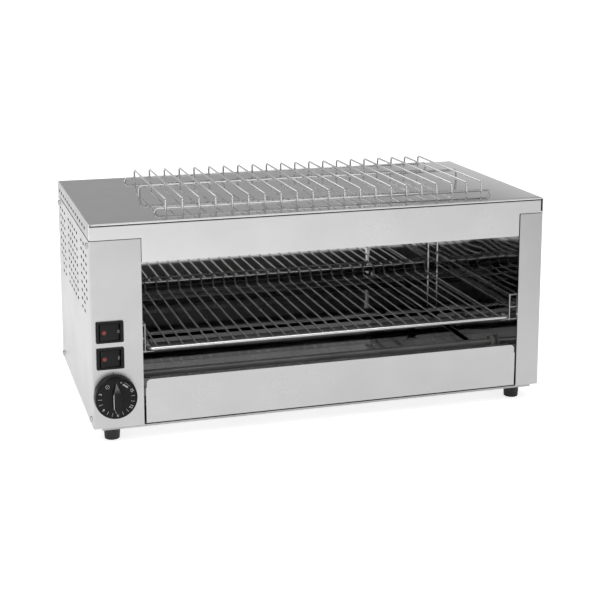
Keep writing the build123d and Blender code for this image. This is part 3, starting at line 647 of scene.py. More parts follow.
    def slab(self, outline: Sequence[Flat], top: float, thickness: float,
             holes: Iterable[list[Edge]] = ()) -> None:
        """Flat slab.

        Args:
            outline: its corners.
            top: height of its upper face.
            thickness: its thickness.
            holes: edges of each hole.
        """
        self.plate(outline, holes)
        self.face_up()
        self.thicken(thickness)
        self.place(Matrix.Translation((0.0, 0.0, top)))
        self.face_out()

    def thicken(self, thickness: float) -> None:
        """Thicken a sheet away from its faces' normals, and mark the edges of its holes 1."""
        outer = set(self.mesh.verts)
        bmesh.ops.solidify(self.mesh, geom=self.mesh.faces[:], thickness=thickness)
        for face in self.mesh.faces:
            owners = [vert in outer for vert in face.verts]
            crossing = any(owners) and not all(owners)
            face.material_index = int(crossing and any(vert in self.hole_rims for vert in face.verts))

    def bevel(self, offset: float, segments: int, sharp: float) -> None:
        """Round every edge that is sharper than an angle.

        Args:
            offset: size of the rounding.
            segments: number of its steps.
            sharp: least angle in degrees.
        """
        edges = [edge for edge in self.mesh.edges
                 if len(edge.link_faces) == 2 and edge.calc_face_angle(0.0) > math.radians(sharp)]
        bmesh.ops.bevel(self.mesh, geom=edges, offset=offset, segments=segments, profile=0.5,
                        affect="EDGES", material=-1, clamp_overlap=True)

    def finish(self, name: str, smooth: float = 40.0) -> bpy.types.Object:
        """Turn the mesh into a piece in metres.

        Args:
            name: name of the piece.
            smooth: faces that meet at less than this many degrees shade as one surface.

        Returns:
            The piece.
        """
        bmesh.ops.scale(self.mesh, vec=(MM, MM, MM), verts=self.mesh.verts[:])
        data = bpy.data.meshes.new(name)
        self.mesh.to_mesh(data)
        self.mesh.free()
        data.shade_smooth()
        data.set_sharp_from_angle(angle=math.radians(smooth))
        piece = bpy.data.objects.new(name, data)
        bpy.context.scene.collection.objects.link(piece)
        return piece


@dataclass
class Casing:
    """Datum planes of the casing, in millimetres, and the controls' places from its left and its base."""

    left: float
    right: float
    front: float
    back: float
    base: float
    top: float
    sheet: float = 1.0
    seam: float = 217.5
    seam_gap: float = 1.5
    panel_w: float = 57.5
    column_w: float = 30.0
    switch_x: float = 20.45
    switch_zs: tuple[tuple[str, float], ...] = (("upper", 112.2), ("lower", 81.5))
    knob_x: float = 24.6
    knob_z: float = 38.0

    @classmethod
    def from_frame(cls) -> Casing:
        """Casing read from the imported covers.

        Returns:
            The datum planes.
        """
        side_low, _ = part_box("left_side_cover")
        low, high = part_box("top_cover")
        return cls(left=low.x / MM, right=high.x / MM, front=low.y / MM, back=high.y / MM,
                   base=side_low.z / MM, top=high.z / MM)

    @property
    def cavity_left(self) -> float:
        """Left wall of the cavity."""
        return self.left + self.panel_w

    @property
    def cavity_right(self) -> float:
        """Right wall of the cavity."""
        return self.right - self.column_w

    @property
    def cavity_middle(self) -> float:
        """Middle of the cavity."""
        return (self.cavity_left + self.cavity_right) / 2


@dataclass
class Assembly:
    """What every sub-assembly shares: the finishes, the casing and the way a piece is handed over."""

    finishes: Finishes
    casing: Casing

    def hand_over(self, blank: Blank, name: str, body: Body, finish: str, replaces: Sequence[str] = (),
                  smooth: float = 40.0, others: Sequence[str] = ()) -> None:
        """Finish a piece, dress it and tie it to its body.

        Args:
            blank: the piece's mesh in millimetres.
            name: name of the piece.
            body: body that it rides on.
            finish: name of its finish.
            replaces: CAD nodes that it stands for.
            smooth: smoothing angle in degrees.
            others: finishes of the faces marked 1, 2 and so on.
        """
        if not others:
            for face in blank.mesh.faces:
                face.material_index = 0
        piece = blank.finish(name, smooth)
        self.finishes.dress(piece, finish)
        for other in others:
            piece.data.materials.append(self.finishes.materials[other])
        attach(piece, body.value)
        if replaces:
            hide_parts(*replaces)
        LOG.info("%s rides on %s with %d faces", name, body.value, len(piece.data.polygons))


# Sheet metal


@dataclass
class Fold:
    """One bend of a flat sheet: the line where it starts, its direction and its angle."""

    start: float
    axis: str
    side: int
    radius: float
    angle: float = QUARTER
    chords: int = 5

    @property
    def lines(self) -> list[float]:
        """Places of the bend's lines, from its start outwards."""
        width = self.side * self.radius * self.angle
        return [self.start + width * step / self.chords for step in range(self.chords + 1)]

    def cut(self, blank: Blank) -> None:
        """Cut the flat sheet along the bend's lines."""
        axis = Vector((1.0, 0.0, 0.0) if self.axis == "X" else (0.0, 1.0, 0.0))
        for line in self.lines:
            bmesh.ops.bisect_plane(blank.mesh, geom=blank.shape, dist=0.0001, plane_co=axis * line,
                                   plane_no=axis)

    def bend(self, blank: Blank) -> None:
        """Bend everything beyond the line down, away from the sheet's normal.

        Args:
            blank: the flat sheet, already cut along the fold's lines.
        """
        index = 0 if self.axis == "X" else 1
        flat = {vert: vert.co[index] for vert in blank.mesh.verts}
        for count, line in reversed(list(enumerate(self.lines))):
            share = 0.5 if count in (0, self.chords) else 1.0
            angle = self.angle / self.chords * share * self.side
            beyond = [vert for vert, place in flat.items() if (place - line) * self.side > 0.0005]
            centre = Vector((line, 0.0, 0.0)) if index == 0 else Vector((0.0, line, 0.0))
            turn = Matrix.Rotation(angle if index == 0 else -angle, 3, "Y" if index == 0 else "X")
            bmesh.ops.rotate(blank.mesh, cent=centre, matrix=turn, verts=beyond)


@dataclass
class Covers(Assembly):
    """The bent covers with their ventilation slots and the panel's cut-outs."""

    bend_r: float = 1.7
    return_w: float = 14.0
    slot_l: float = 10.0
    slot_w: float = 3.5
    pitch_y: float = 19.53
    pitch_z: float = 9.8
    first_y: float = 26.6
    top_row: float = 204.5
    columns: int = 13
    rows: int = 9
    short_rows: int = 7
    blank_columns: tuple[int, int] = (3, 9)
    top_first_y: float = 33.0
    top_pitch: float = 19.45
    top_row_z: float = 225.3
    hem: float = 10.0
    switch_hole: Flat = (14.0, 11.3)
    shaft_hole: float = 12.4
    # Slopes above which faces of the top cover take painted shade or a painted highlight, and the width of
    # the hem's painted highlight.
    shade_slope: float = 0.92
    highlight_slope: float = 0.3
    highlight_hem: float = 0.8

    def build(self) -> None:
        """Build the three covers."""
        self.side_cover("left", -1, self.casing.panel_w)
        self.side_cover("right", 1, self.casing.column_w)
        self.top_cover()

    @property
    def excess(self) -> float:
        """What a square bend adds to the flat length of the sheet beyond it."""
        return self.bend_r * (QUARTER - 1.0)

    def slot_places(self) -> list[Flat]:
        """Slots of one side as pairs of depth and height."""
        places = []
        for column in range(self.columns):
            if column in self.blank_columns:
                continue
            rows = self.short_rows if column in (0, self.columns - 1) else self.rows
            y = self.first_y + self.pitch_y * column
            places += [(y, self.top_row - self.pitch_z * row) for row in range(rows)]
        return places

    def side_cover(self, side: str, out: int, front_w: float) -> None:
        """One side cover, its front return, its side and its rear return in one sheet.

        Args:
            side: left or right.
            out: -1 on the left, 1 on the right.
            front_w: width of the front return.
        """
        case = self.casing
        start, end = self.bend_r, case.back - case.sheet - case.front - self.bend_r
        panel = start - self.excess
        blank = Blank()
        holes = [blank.round_hole(place, self.slot_l, self.slot_w) for place in self.slot_places()]
        if out < 0:
            half_w, half_h = self.switch_hole
            for _, z in case.switch_zs:
                x = panel - case.switch_x
                holes.append(blank.loop(rectangle(x - half_w, z - half_h, x + half_w, z + half_h)))
            middle = (panel - case.knob_x, case.knob_z)
            holes.append(blank.round_hole(middle, self.shaft_hole, self.shaft_hole, 24))
        high = end + self.excess + self.return_w
        blank.plate(rectangle(panel - front_w, 0.0, high, case.seam - case.seam_gap), holes)
        folds = [Fold(start, "X", -1, self.bend_r), Fold(end, "X", 1, self.bend_r)]
        for fold in folds:
            fold.cut(blank)
        blank.face_up()
        for fold in folds:
            fold.bend(blank)
        blank.thicken(case.sheet)
        # The sheet's X is the casing's depth and its Y the height; its normal looks out of the casing.
        blank.place(Matrix(((0, 0, out, out * case.right), (1, 0, 0, case.front), (0, 1, 0, case.base),
                            (0, 0, 0, 1))))
        blank.face_out()
        self.hand_over(blank, f"{side}_cover_sheet", Body.CASING, "satin side steel",
                       [f"{side}_side_cover"], smooth=25.0, others=["painted shade cut edges"])

    def top_cover(self) -> None:
        """Top panel with slotted side flanges, a rear flange and a hem along its front edge."""
        case = self.casing
        width, depth = case.right - case.left, case.back - case.front
        height = case.top - case.base
        end = width / 2 - self.bend_r
        reach = self.excess + height - case.seam
        notch = end - case.sheet
        front, hem_end = case.sheet, case.sheet * (2.0 - math.pi) - self.hem
        rear = depth - self.bend_r
        side, tail = end + reach, rear + reach
        row = end + self.excess + height - self.top_row_z
        blank = Blank()
        holes = []
        for index in range(self.columns):
            y = self.top_first_y + self.top_pitch * index
            holes += [blank.round_hole((x, y), self.slot_l, self.slot_w, upright=True) for x in (-row, row)]
        blank.plate([(-side, 0.0), (-notch, 0.0), (-notch, hem_end), (notch, hem_end), (notch, 0.0),
                     (side, 0.0), (side, depth), (notch, depth), (notch, tail), (-notch, tail),
                     (-notch, depth), (-side, depth)], holes)
        across = [Fold(front, "Y", -1, case.sheet, math.pi, chords=8), Fold(rear, "Y", 1, self.bend_r)]
        along = [Fold(-end, "X", -1, self.bend_r), Fold(end, "X", 1, self.bend_r)]
        for fold in along + across:
            fold.cut(blank)
        blank.face_up()
        for fold in across:
            aside = {vert: vert.co.copy() for vert in blank.mesh.verts if abs(vert.co.x) > notch + 0.01}
            fold.bend(blank)
            for vert, place in aside.items():
                vert.co = place
        for fold in along:
            fold.bend(blank)
        blank.thicken(case.sheet)
        blank.place(Matrix.Translation((0.0, case.front, case.top)))
        blank.face_out()
        for face in blank.mesh.faces:
            steep = abs(face.normal.x)
            if face.material_index:
                continue
            # Faces that look sideways take the darker copy of the steel: painted shade.
            if steep > self.shade_slope:
                face.material_index = 2
            # The bends and the front strip of the hem take the near-white copy: a painted highlight.
            elif steep > self.highlight_slope or face.calc_center_median().y < case.front + self.highlight_hem:
                face.material_index = 3
        self.hand_over(blank, "top_cover_sheet", Body.CASING, "bright top steel", ["top_cover"],
                       smooth=25.0, others=["painted shade cut edges", "painted shade flange", "painted highlight folds"])


@dataclass
class Seams(Assembly):
    """Dark strips that paint the shadow in the gaps of covers, header, hem and tray, a strip over the
    header's end, and a bright strip that paints the corner highlight.
    """

    strip_t: float = 0.2
    lead: float = 0.06
    gap: float = 0.9
    groove: float = 1.1
    thin_gap: float = 0.7
    header_h: float = 46.0
    header_end: float = 4.0
    header_end_y: float = 0.25
    tray_y: float = 1.9
    tray_zs: Flat = (-0.6, 1.4)
    corner_x: float = 238.2
    corner_w: float = 1.8
    corner_zs: Flat = (28.0, 122.0)
    corner_lead: float = 0.8

    def build(self) -> None:
        """Build the painted gap shadows, the header's end and the painted corner highlight."""
        case = self.casing
        face = case.front + case.sheet
        seam = case.base + case.seam - case.seam_gap
        header = case.top - self.header_h
        hem = case.top - 2 * case.sheet
        inner = case.right - case.sheet
        # Each strip is its ends, its bottom and top, and the depth of its face.
        # The dark strips paint the shadow under the hem and in the gaps beside the panel and the column; the
        # grey ones paint the shade in the seams on top of them.
        dark = [((-inner, inner), (hem - self.groove, hem), face - self.lead)]
        grey = []
        for edge, wall, out in ((case.cavity_left, case.left, 1), (case.cavity_right, case.right, -1)):
            beyond = edge + out * self.gap
            grey.append((sorted((wall, beyond)), (seam, seam + self.thin_gap), face - self.lead))
            dark.append((sorted((edge, beyond)), (header, seam), face - self.lead))
        low, high = self.tray_zs
        # A dark strip along the foot of the tray front paints the shadow in its gap.
        dark.append(((case.cavity_left, case.cavity_right), (case.base + low, case.base + high),
                     case.front + self.tray_y))
        end = ((-inner, self.header_end - inner), (seam + self.thin_gap, hem - self.groove),
               face + self.header_end_y)
        # A bright strip in the cavity's back corner paints its highlight; its shading leans to catch the
        # light.
        wall_low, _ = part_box("cavity_back_wall")
        low, high = self.corner_zs
        half = self.corner_w / 2
        corner = ((self.corner_x - half, self.corner_x + half), (case.base + low, case.base + high),
                  wall_low.y / MM - self.corner_lead)
        for name, finish, strips in (("header_painted_shadows", "painted seam shadow", dark),
                                     ("cover_painted_shade", "painted seam shade", grey),
                                     ("header_end", "header steel with painted light", [end]),
                                     ("cavity_corner_highlight", "painted corner highlight", [corner])):
            blank = Blank()
            for (x0, x1), (z0, z1), y in strips:
                size = Matrix.Diagonal((x1 - x0, self.strip_t, z1 - z0, 1.0))
                middle = Matrix.Translation(((x0 + x1) / 2, y + self.strip_t / 2, (z0 + z1) / 2))
                bmesh.ops.create_cube(blank.mesh, size=1.0, matrix=middle @ size)
            self.hand_over(blank, name, Body.CASING, finish)


@dataclass
class PanScrew:
    """Pan head with a cross recess; its crown is pairs of radius over width and height over height."""

    head: float = 7.0
    height: float = 2.3
    recess: float = 4.0
    arm: float = 1.1
    depth: float = 1.2
    flat: float = 0.36
    crown: tuple[Flat, ...] = ((0.44, 0.8), (0.49, 0.45), (0.5, 0.0))

    def add(self, blank: Blank, place: Matrix) -> None:
        """Add one head.

        Args:
            blank: mesh that takes it.
            place: place of its underside, with Z outwards.
        """
        before = set(blank.mesh.verts)
        far, near = self.recess / 2, self.arm / 2
        arm = [(far, -near), (far, near), (near, near)]
        cross = []
        for _ in range(4):
            cross += arm
            arm = [(-y, x) for x, y in arm]
        rim = bmesh.ops.create_circle(blank.mesh, cap_ends=False, segments=20,
                                      radius=self.head * self.flat)["verts"]
        edges = list(dict.fromkeys(edge for vert in rim for edge in vert.link_edges))
        recess = blank.loop(cross)
        blank.fill(edges + recess)
        bmesh.ops.translate(blank.mesh, vec=(0, 0, self.height), verts=blank.since(before)[0])
        sunk = bmesh.ops.extrude_edge_only(blank.mesh, edges=recess)["geom"]
        bmesh.ops.translate(blank.mesh, vec=(0, 0, -self.depth), verts=only(Vert, sunk))
        blank.fill(only(Edge, sunk))
        for radius, height in self.crown:
            made = bmesh.ops.extrude_edge_only(blank.mesh, edges=edges)["geom"]
            ring, edges = only(Vert, made), only(Edge, made)
            grow = self.head * radius / math.hypot(ring[0].co.x, ring[0].co.y)
            bmesh.ops.scale(blank.mesh, vec=(grow, grow, 1.0), verts=ring)
            for vert in ring:
                vert.co.z = self.height * height
        new, faces = blank.since(before)
        blank.face_out(faces)
        blank.place(place, new)


@dataclass
class Fasteners(Assembly):
    """Screw heads of the side and back covers."""

    front_y: float = 14.0
    side_zs: Flat = (7.5, 209.0)
    back_xs: tuple[float, ...] = (-262.0, -88.0, 88.0, 262.0)
    back_zs: Flat = (8.0, 205.0)

    def build(self) -> None:
        """Build the side and back screws."""
        case = self.casing
        screw = PanScrew()
        sides = Blank()
        for out in (-1, 1):
            for y in (case.front + self.front_y, case.back - self.front_y):
                for z in self.side_zs:
                    screw.add(sides, facing(Side(out), out * case.right, y, case.base + z))
        self.hand_over(sides, "side_screw_heads", Body.CASING, "screw steel", ["cover_screws"])
        rear = Blank()
        for x in self.back_xs:
            for z in self.back_zs:
                screw.add(rear, facing(Side.BACK, x, case.back, case.base + z))
        self.hand_over(rear, "back_screw_heads", Body.CASING, "screw steel")


@dataclass
class Feet(Assembly):
    """Round rubber feet, each with a screw in its recess."""

    inset_x: float = 24.0
    inset_y: float = 25.0
    top_r: float = 10.0
    tip_r: float = 8.75
    recess_r: float = 5.0
    recess_h: float = 11.0

    def build(self) -> None:
        """Build the four feet and their screws."""
        case = self.casing
        height, top, tip, bore = case.base, self.top_r, self.tip_r, self.recess_r
        screw = PanScrew(head=8.0, height=2.4)
        screws = Blank()
        profile = [(0.0, self.recess_h), (bore, self.recess_h), (bore, 0.8), (bore + 0.8, 0.0),
                   (tip - 1.0, 0.0), (tip - 0.3, 0.3), (tip, 1.0), (top - 0.15, height - 1.4),
                   (top, height - 0.8), (top, height), (0.0, height)]
        for side, x in (("left", case.left + self.inset_x), ("right", case.right - self.inset_x)):
            for end, y in (("front", case.front + self.inset_y), ("rear", case.back - self.inset_y)):
                foot = Blank()
                foot.lathe(profile, Matrix.Translation((x, y, 0.0)), steps=40)
                self.hand_over(foot, f"rubber_foot_{end}_{side}", Body.CASING, "foot rubber",
                               [f"foot_{end}_{side}"])
                recess = Matrix.Translation((x, y, self.recess_h))
                screw.add(screws, recess @ Matrix.Rotation(math.pi, 4, "X"))
        self.hand_over(screws, "foot_screw_heads", Body.CASING, "screw steel")


# Heaters and wire work


@dataclass
class Heaters(Assembly):
    """Quartz tubes, their ceramic bushes and the spring clips on them."""

    tube_r: float = 5.0
    bore_r: float = 4.0
    overrun: float = 14.0
    bush_y: float = 6.0
    clip_y: float = 7.0
    clip_d: float = 1.0
    clip_gap: float = 0.55
    places: tuple[tuple[str, float, float], ...] = (
        ("lower_front", 67.0, 37.0), ("lower_rear", 172.0, 37.0), ("upper_front", 67.0, 203.0),
        ("upper_rear", 172.0, 203.0))

    def build(self) -> None:
        """Build the tubes, bushes and clips."""
        case = self.casing
        x0, x1 = case.cavity_left - self.overrun, case.cavity_right + self.overrun
        inner = self.tube_r + 0.1
        bush = [(inner, 0.0), (7.2, 0.0), (8.1, 0.4), (8.5, 1.2), (8.5, 5.0), (8.1, 5.7), (7.2, 6.0),
                (6.5, 6.0), (6.5, 10.0), (inner, 10.0), (inner, 0.0)]
        shell = [(self.bore_r, 0.0), (self.tube_r, 0.0), (self.tube_r, x1 - x0), (self.bore_r, x1 - x0),
                 (self.bore_r, 0.0)]
        bushes = Blank()
        clips = Blank()
        for name, depth, height in self.places:
            y, z = case.front + depth, case.base + height
            tube = Blank()
            tube.lathe(shell, facing(Side.RIGHT, x0, y, z), steps=32)
            self.hand_over(tube, f"quartz_{name}", Body.CASING, "milky quartz", [f"quartz_tube_{name}"])
            for wall, out in ((case.cavity_left, -1), (case.cavity_right, 1)):
                bushes.lathe(bush, facing(Side(out), wall - out * self.bush_y, y, z), steps=32)
                self.clip(clips, wall - out * self.clip_y, y, z)
        self.hand_over(bushes, "ceramic_bushes", Body.CASING, "bush ceramic", ["tube_bushes"])
        self.hand_over(clips, "tube_clips", Body.CASING, "shade darkened wire")

    def clip(self, blank: Blank, x: float, y: float, z: float) -> None:
        """Add a thin spring clip round one tube.

        Args:
            blank: mesh that takes it.
            x: its place along the tube.
            y: depth of the tube's axis.
            z: height of the tube's axis.
        """
        reach = self.tube_r + self.clip_gap
        y0, y1, top = y - reach, y + reach, z + reach
        blank.wire([(x, y0, z - 2.0), (x, y0, top), (x, y1, top), (x, y1, z - 2.0)], self.clip_d, reach,
                   sides=8, steps=8)
        blank.wire([(x, y + 1.5, top + 0.4), (x, y + 1.5, top + 4.0), (x, y + 5.0, top + 4.0)], self.clip_d,
                   1.5, sides=8)


@dataclass
class Shelf(Assembly):
    """The wire shelf and the wire rails that carry it."""

    rail_d: float = 2.2
    rail_zs: tuple[float, float, float] = (82.0, 97.4, 113.0)
    rail_bend: float = 1.8
    stand_off: float = 4.8
    low_inset: float = 16.5
    rail_ys: Flat = (13.0, 250.0)
    clearance: float = 0.2
    side_gap: float = 1.0
    bar_d: float = 5.0
    bar_y: float = 8.0
    bar_bend: float = 6.0
    tail: float = 14.0
    weld: float = 0.6
    wire_d: float = 2.2
    wire_bend: float = 4.0
    wires: int = 29
    pitch: float = 15.22
    cross_d: float = 2.4
    cross_ys: Flat = (67.5, 246.0)
    rear_y: float = 252.0
    lean: float = 8.5
    rise: float = 12.5
    end: float = 1.5
    rear_bar_d: float = 2.6

    @property
    def lowest(self) -> float:
        """Underside of the shelf."""
        return self.casing.base + self.rail_zs[0] + self.rail_d / 2 + self.clearance

    @property
    def half(self) -> float:
        """Half the shelf's width."""
        case = self.casing
        return (case.cavity_right - case.cavity_left) / 2 - self.stand_off - self.rail_d / 2 - self.side_gap

    def build(self) -> None:
        """Build the rails and the shelf."""
        self.rail("left", self.casing.cavity_left, -1)
        self.rail("right", self.casing.cavity_right, 1)
        self.front_bar()
        self.long_wires()
        self.cross_wires()

    def rail(self, side: str, wall: float, out: int) -> None:
        """Three runners and a post on one wall.

        Args:
            side: left or right.
            wall: the wall's face.
            out: -1 on the left, 1 on the right.
        """
        runner = wall - out * self.stand_off
        y0, y1 = (self.casing.front + y for y in self.rail_ys)
        low, mid, high = (self.casing.base + z for z in self.rail_zs)
        blank = Blank()
        blank.wire([(runner, y0, low - self.rail_d / 2), (runner, y0, high + self.rail_d / 2)], self.rail_d)
        for x, z in ((wall - out * self.low_inset, low), (runner, mid), (runner, high)):
            blank.wire([(wall, y0, z), (x, y0, z), (x, y1, z), (wall, y1, z)], self.rail_d, self.rail_bend)
        # The rails take the dark copy of the chromed wire: painted shade.
        self.hand_over(blank, f"rail_wires_{side}", Body.CASING, "shade darkened wire", [f"shelf_rail_{side}"])

    def front_bar(self) -> None:
        """Thick front bar with both ends turned back and painted shade on its underside."""
        z = self.lowest + self.bar_d / 2
        y = self.casing.front + self.bar_y
        x0, x1 = (self.casing.cavity_middle + side * (self.half - self.bar_d / 2) for side in (-1, 1))
        blank = Blank()
        blank.wire([(x0, y + self.tail, z), (x0, y, z), (x1, y, z), (x1, y + self.tail, z)], self.bar_d,
                   self.bar_bend, sides=20, steps=8)
        blank.bevel(0.6, 2, sharp=60.0)
        # Faces that look down take the darker finish: painted shade on the bar's underside.
        for face in blank.mesh.faces:
            face.material_index = int(face.normal.z < -0.05)
        self.hand_over(blank, "shelf_bar_round", Body.SHELF, "polished bar", ["shelf_front_bar"],
                       others=["underside shade wire"])

    def long_wires(self) -> None:
        """Wires from the front bar to the back, where they slope up."""
        case = self.casing
        z = self.lowest + self.cross_d + self.wire_d / 2
        y0, y1 = case.front + self.bar_y + self.bar_d / 2 - self.weld, case.front + self.rear_y
        x0 = case.cavity_middle - self.pitch * (self.wires - 1) / 2
        blank = Blank()
        blank.wire([(x0, y0, z), (x0, y1, z), (x0, y1 + self.lean, z + self.rise)], self.wire_d,
                   self.wire_bend, sides=10)
        blank.repeat(self.pitch, self.wires)
        self.hand_over(blank, "shelf_long_wires", Body.SHELF, "heat dulled wire", ["shelf_wires"])

    def cross_wires(self) -> None:
        """Cross wires under the shelf and the bar behind its sloping ends."""
        case = self.casing
        z = self.lowest + self.cross_d / 2
        blank = Blank()
        for y in self.cross_ys:
            self.level(blank, self.half, case.front + y, z, self.cross_d)
        # The cross wires take the darker finish: painted shade under the shelf.
        self.hand_over(blank, "shelf_cross_bars", Body.SHELF, "underside shade wire", ["shelf_cross_wires"])
        slope = Vector((0.0, self.lean, self.rise)).normalized()
        behind = Vector((0.0, slope.z, -slope.y)) * (self.wire_d + self.rear_bar_d) / 2
        wire_z = z + self.cross_d / 2 + self.wire_d / 2
        top = Vector((0.0, case.front + self.rear_y + self.lean, wire_z + self.rise))
        middle = top - slope * self.end + behind
        reach = self.pitch * (self.wires - 1) / 2 + self.wire_d
        rear = Blank()
        self.level(rear, reach, middle.y, middle.z, self.rear_bar_d)
        self.hand_over(rear, "shelf_rear_round", Body.SHELF, "polished bar", ["shelf_rear_bar"])

    def level(self, blank: Blank, half: float, y: float, z: float, diameter: float) -> None:
        """Add a straight wire across the shelf.

        Args:
            blank: mesh that takes it.
            half: half its length.
            y: its depth.
            z: its height.
            diameter: its thickness.
        """
        middle = self.casing.cavity_middle
        blank.wire([(middle - half, y, z), (middle + half, y, z)], diameter)


@dataclass
class Rack(Assembly):
    """Warming rack on the top cover."""

    wires: int = 21
    pitch: float = 19.6
    middle_x: float = 290.0
    wire_d: float = 2.4
    rod_d: float = 3.0
    front_y: float = 40.0
    rear_y: float = 249.0
    middle_y: float = 145.0
    height: float = 16.5
    rod_z: float = 4.5
    rod_w: float = 416.0
    clearance: float = 0.3
    tip: float = 1.0
    bend_r: float = 3.5
    low_bend: float = 0.7

    def build(self) -> None:
        """Build the cross wires and the three rods, whose ends turn down to the top cover."""
        case = self.casing
        ground = case.top + self.clearance
        z0, z1 = ground + self.tip, ground + self.height - self.wire_d / 2
        x0 = case.left + self.middle_x - self.pitch * (self.wires - 1) / 2
        y0, y1 = case.front + self.front_y, case.front + self.rear_y
        blank = Blank()
        blank.wire([(x0, y0, z0), (x0, y0, z1), (x0, y1, z1), (x0, y1, z0)], self.wire_d, self.bend_r,
                   sides=10, steps=6)
        blank.repeat(self.pitch, self.wires)
        self.hand_over(blank, "rack_cross_wires", Body.RACK, "chromed wire", ["rack_wires"])
        beside = self.wire_d / 2 + self.rod_d / 2
        under = ground + self.height - self.wire_d - self.rod_d / 2
        x0 = case.left + self.middle_x - self.rod_w / 2
        x1 = x0 + self.rod_w
        for name, y, z in (("front", y0 + beside, ground + self.rod_z),
                           ("middle", case.front + self.middle_y, under),
                           ("rear", y1 + beside, ground + self.rod_z)):
            rod = Blank()
            rod.wire([(x0, y, ground), (x0, y, z), (x1, y, z), (x1, y, ground)], self.rod_d,
                     min(self.bend_r, (z - ground) * self.low_bend), sides=14, steps=6)
            self.hand_over(rod, f"rack_rod_{name}", Body.RACK, "chromed wire", [f"rack_{name}_rod"])


# Controls and inlet


@dataclass
class Timer(Assembly):
    """Timer knob with its printed scale, whose angles run from the right, and the mark on the panel."""

    gap: float = 1.0
    skirt: float = 12.0
    radius: float = 24.25
    tip_radius: float = 23.65
    sunk: float = 0.35
    grip_h: float = 8.5
    root: float = 0.4
    taper: Flat = (0.82, 0.95)
    nose: Flat = (19.2, 0.7)
    grip_edge: float = 1.1
    print_t: float = 0.1
    print_lead: float = 0.02
    numbers: tuple[tuple[str, float], ...] = (("3", 159.5), ("6", 218.0), ("9", 273.0), ("12", 328.0),
                                              ("15", 27.0))
    number_size: float = 4.9
    number_out: float = 19.1
    number_weight: float = 0.09
    ticks: tuple[float, ...] = (178.5, 197.5, 236.5, 254.5, 291.0, 309.5, 347.0, 6.5)
    tick: tuple[float, ...] = (-0.22, 16.4, 0.22, 20.8)
    dots: tuple[Flat, ...] = ((73.4, 19.2), (29.5, 20.3))
    dot_r: float = 0.75
    hand_angle: float = 54.0
    off_widths: tuple[tuple[float, ...], ...] = ((4.6, 3.7), (0.9,))
    off_angle: float = 124.0
    off_out: float = 17.6
    mark_x: float = -1.2
    mark_gap: float = 0.6
    mark_w: float = 1.0
    mark_h: float = 2.6
    mark_t: float = 0.05

    @property
    def place(self) -> Matrix:
        """Place of the knob's underside."""
        case = self.casing
        return facing(Side.FRONT, case.left + case.knob_x, case.front - self.gap, case.base + case.knob_z)

    def build(self) -> None:
        """Build the knob, its print and the panel's mark."""
        case = self.casing
        tip, top = self.tip_radius, self.skirt
        knob = Blank()
        knob.lathe([(0.0, 0.0), (self.radius - 0.3, 0.0), (self.radius, 0.4), (tip + 0.1, top - 1.5),
                    (tip - 0.3, top - 0.6), (tip - 1.1, top - 0.1), (tip - 1.7, top),
                    (tip - 1.9, top - self.sunk), (13.2, top - self.sunk), (12.4, top - 0.1),
                    (0.0, top - 0.1)], self.place, steps=96)
        knob.absorb(self.grip())
        self.hand_over(knob, "knob", Body.TIMER, "knob moulding", ["timer_knob"], smooth=35.0,
                       others=["grip moulding", "painted grip highlight"])
        self.scale_print()
        mark = Blank()
        mark.slab(rectangle(-self.mark_w / 2, 0.0, self.mark_w / 2, self.mark_h), 0.0, self.mark_t)
        mark.place(facing(Side.FRONT, case.left + case.knob_x + self.mark_x, case.front - self.mark_t,
                          case.base + case.knob_z + self.radius + self.mark_gap))
        self.hand_over(mark, "timer_mark", Body.CASING, "grey print")

    def grip(self) -> Blank:
        """Grip, whose pointed end slopes down to the skirt.

        Returns:
            Its mesh, with glossy faces marked 1 and the left edge, which takes a painted highlight, marked 2.
        """
        part = Blank()
        outline = [(0.0, 19.7), (-4.7, 9.7), (-5.5, 7.4), (-5.5, -9.2), (-2.2, -15.6), (2.2, -15.6),
                   (5.5, -9.2), (5.5, 7.4), (4.7, 9.7)]
        top = part.prism([(x, y, 0.0) for x, y in outline], (0.0, 0.0, self.grip_h + self.root))
        bmesh.ops.scale(part.mesh, vec=(*self.taper, 1.0), verts=top)
        nose = max(top, key=lambda vert: vert.co.y)
        nose.co.yz = self.nose
        bmesh.ops.triangulate(part.mesh, faces=[face for face in part.mesh.faces if len(face.verts) > 4])
        part.face_out()
        part.bevel(self.grip_edge, 4, sharp=28.0)
        for face in part.mesh.faces:
            x, y, z = face.normal
            ramp = y > 0.2 and 0.3 < z < 0.97
            # The left edge's faces take a painted highlight.
            highlight_edge = -0.97 < x < -0.1 and z > 0.2 and abs(y) < 0.1
            face.material_index = 2 if highlight_edge else int(ramp or x < -0.5)
        part.place(self.place @ Matrix.Translation((0, 0, self.skirt - self.root)))
        return part

    def scale_print(self) -> None:
        """Print numbers, ticks, dots and two plain signs on the skirt."""
        blank = Blank()
        for number, angle in self.numbers:
            self.number(blank, number, angle)
        for angle in self.ticks:
            self.stamp(blank, rectangle(*self.tick), angle)
        for angle, out in self.dots:
            self.stamp(blank, polygon(self.dot_r, 12, up=out), angle)
        self.stamp(blank, [(-3.4, 16.6), (3.2, 16.6), (3.6, 17.4), (3.2, 18.3), (-3.4, 18.3), (-3.7, 17.4)],
                   self.hand_angle)
        self.stamp(blank, rectangle(-3.4, 19.9, 3.8, 20.2), self.hand_angle - 1.0)
        for widths in self.off_widths:
            before = set(blank.mesh.verts)
            blank.fill([edge for width in widths for edge in blank.round_hole((0.0, 0.0), width, width, 20)])
            self.settle(blank, before, self.off_angle, self.off_out)
        blank.thicken(self.print_t)
        self.hand_over(blank, "knob_print", Body.TIMER, "white print")

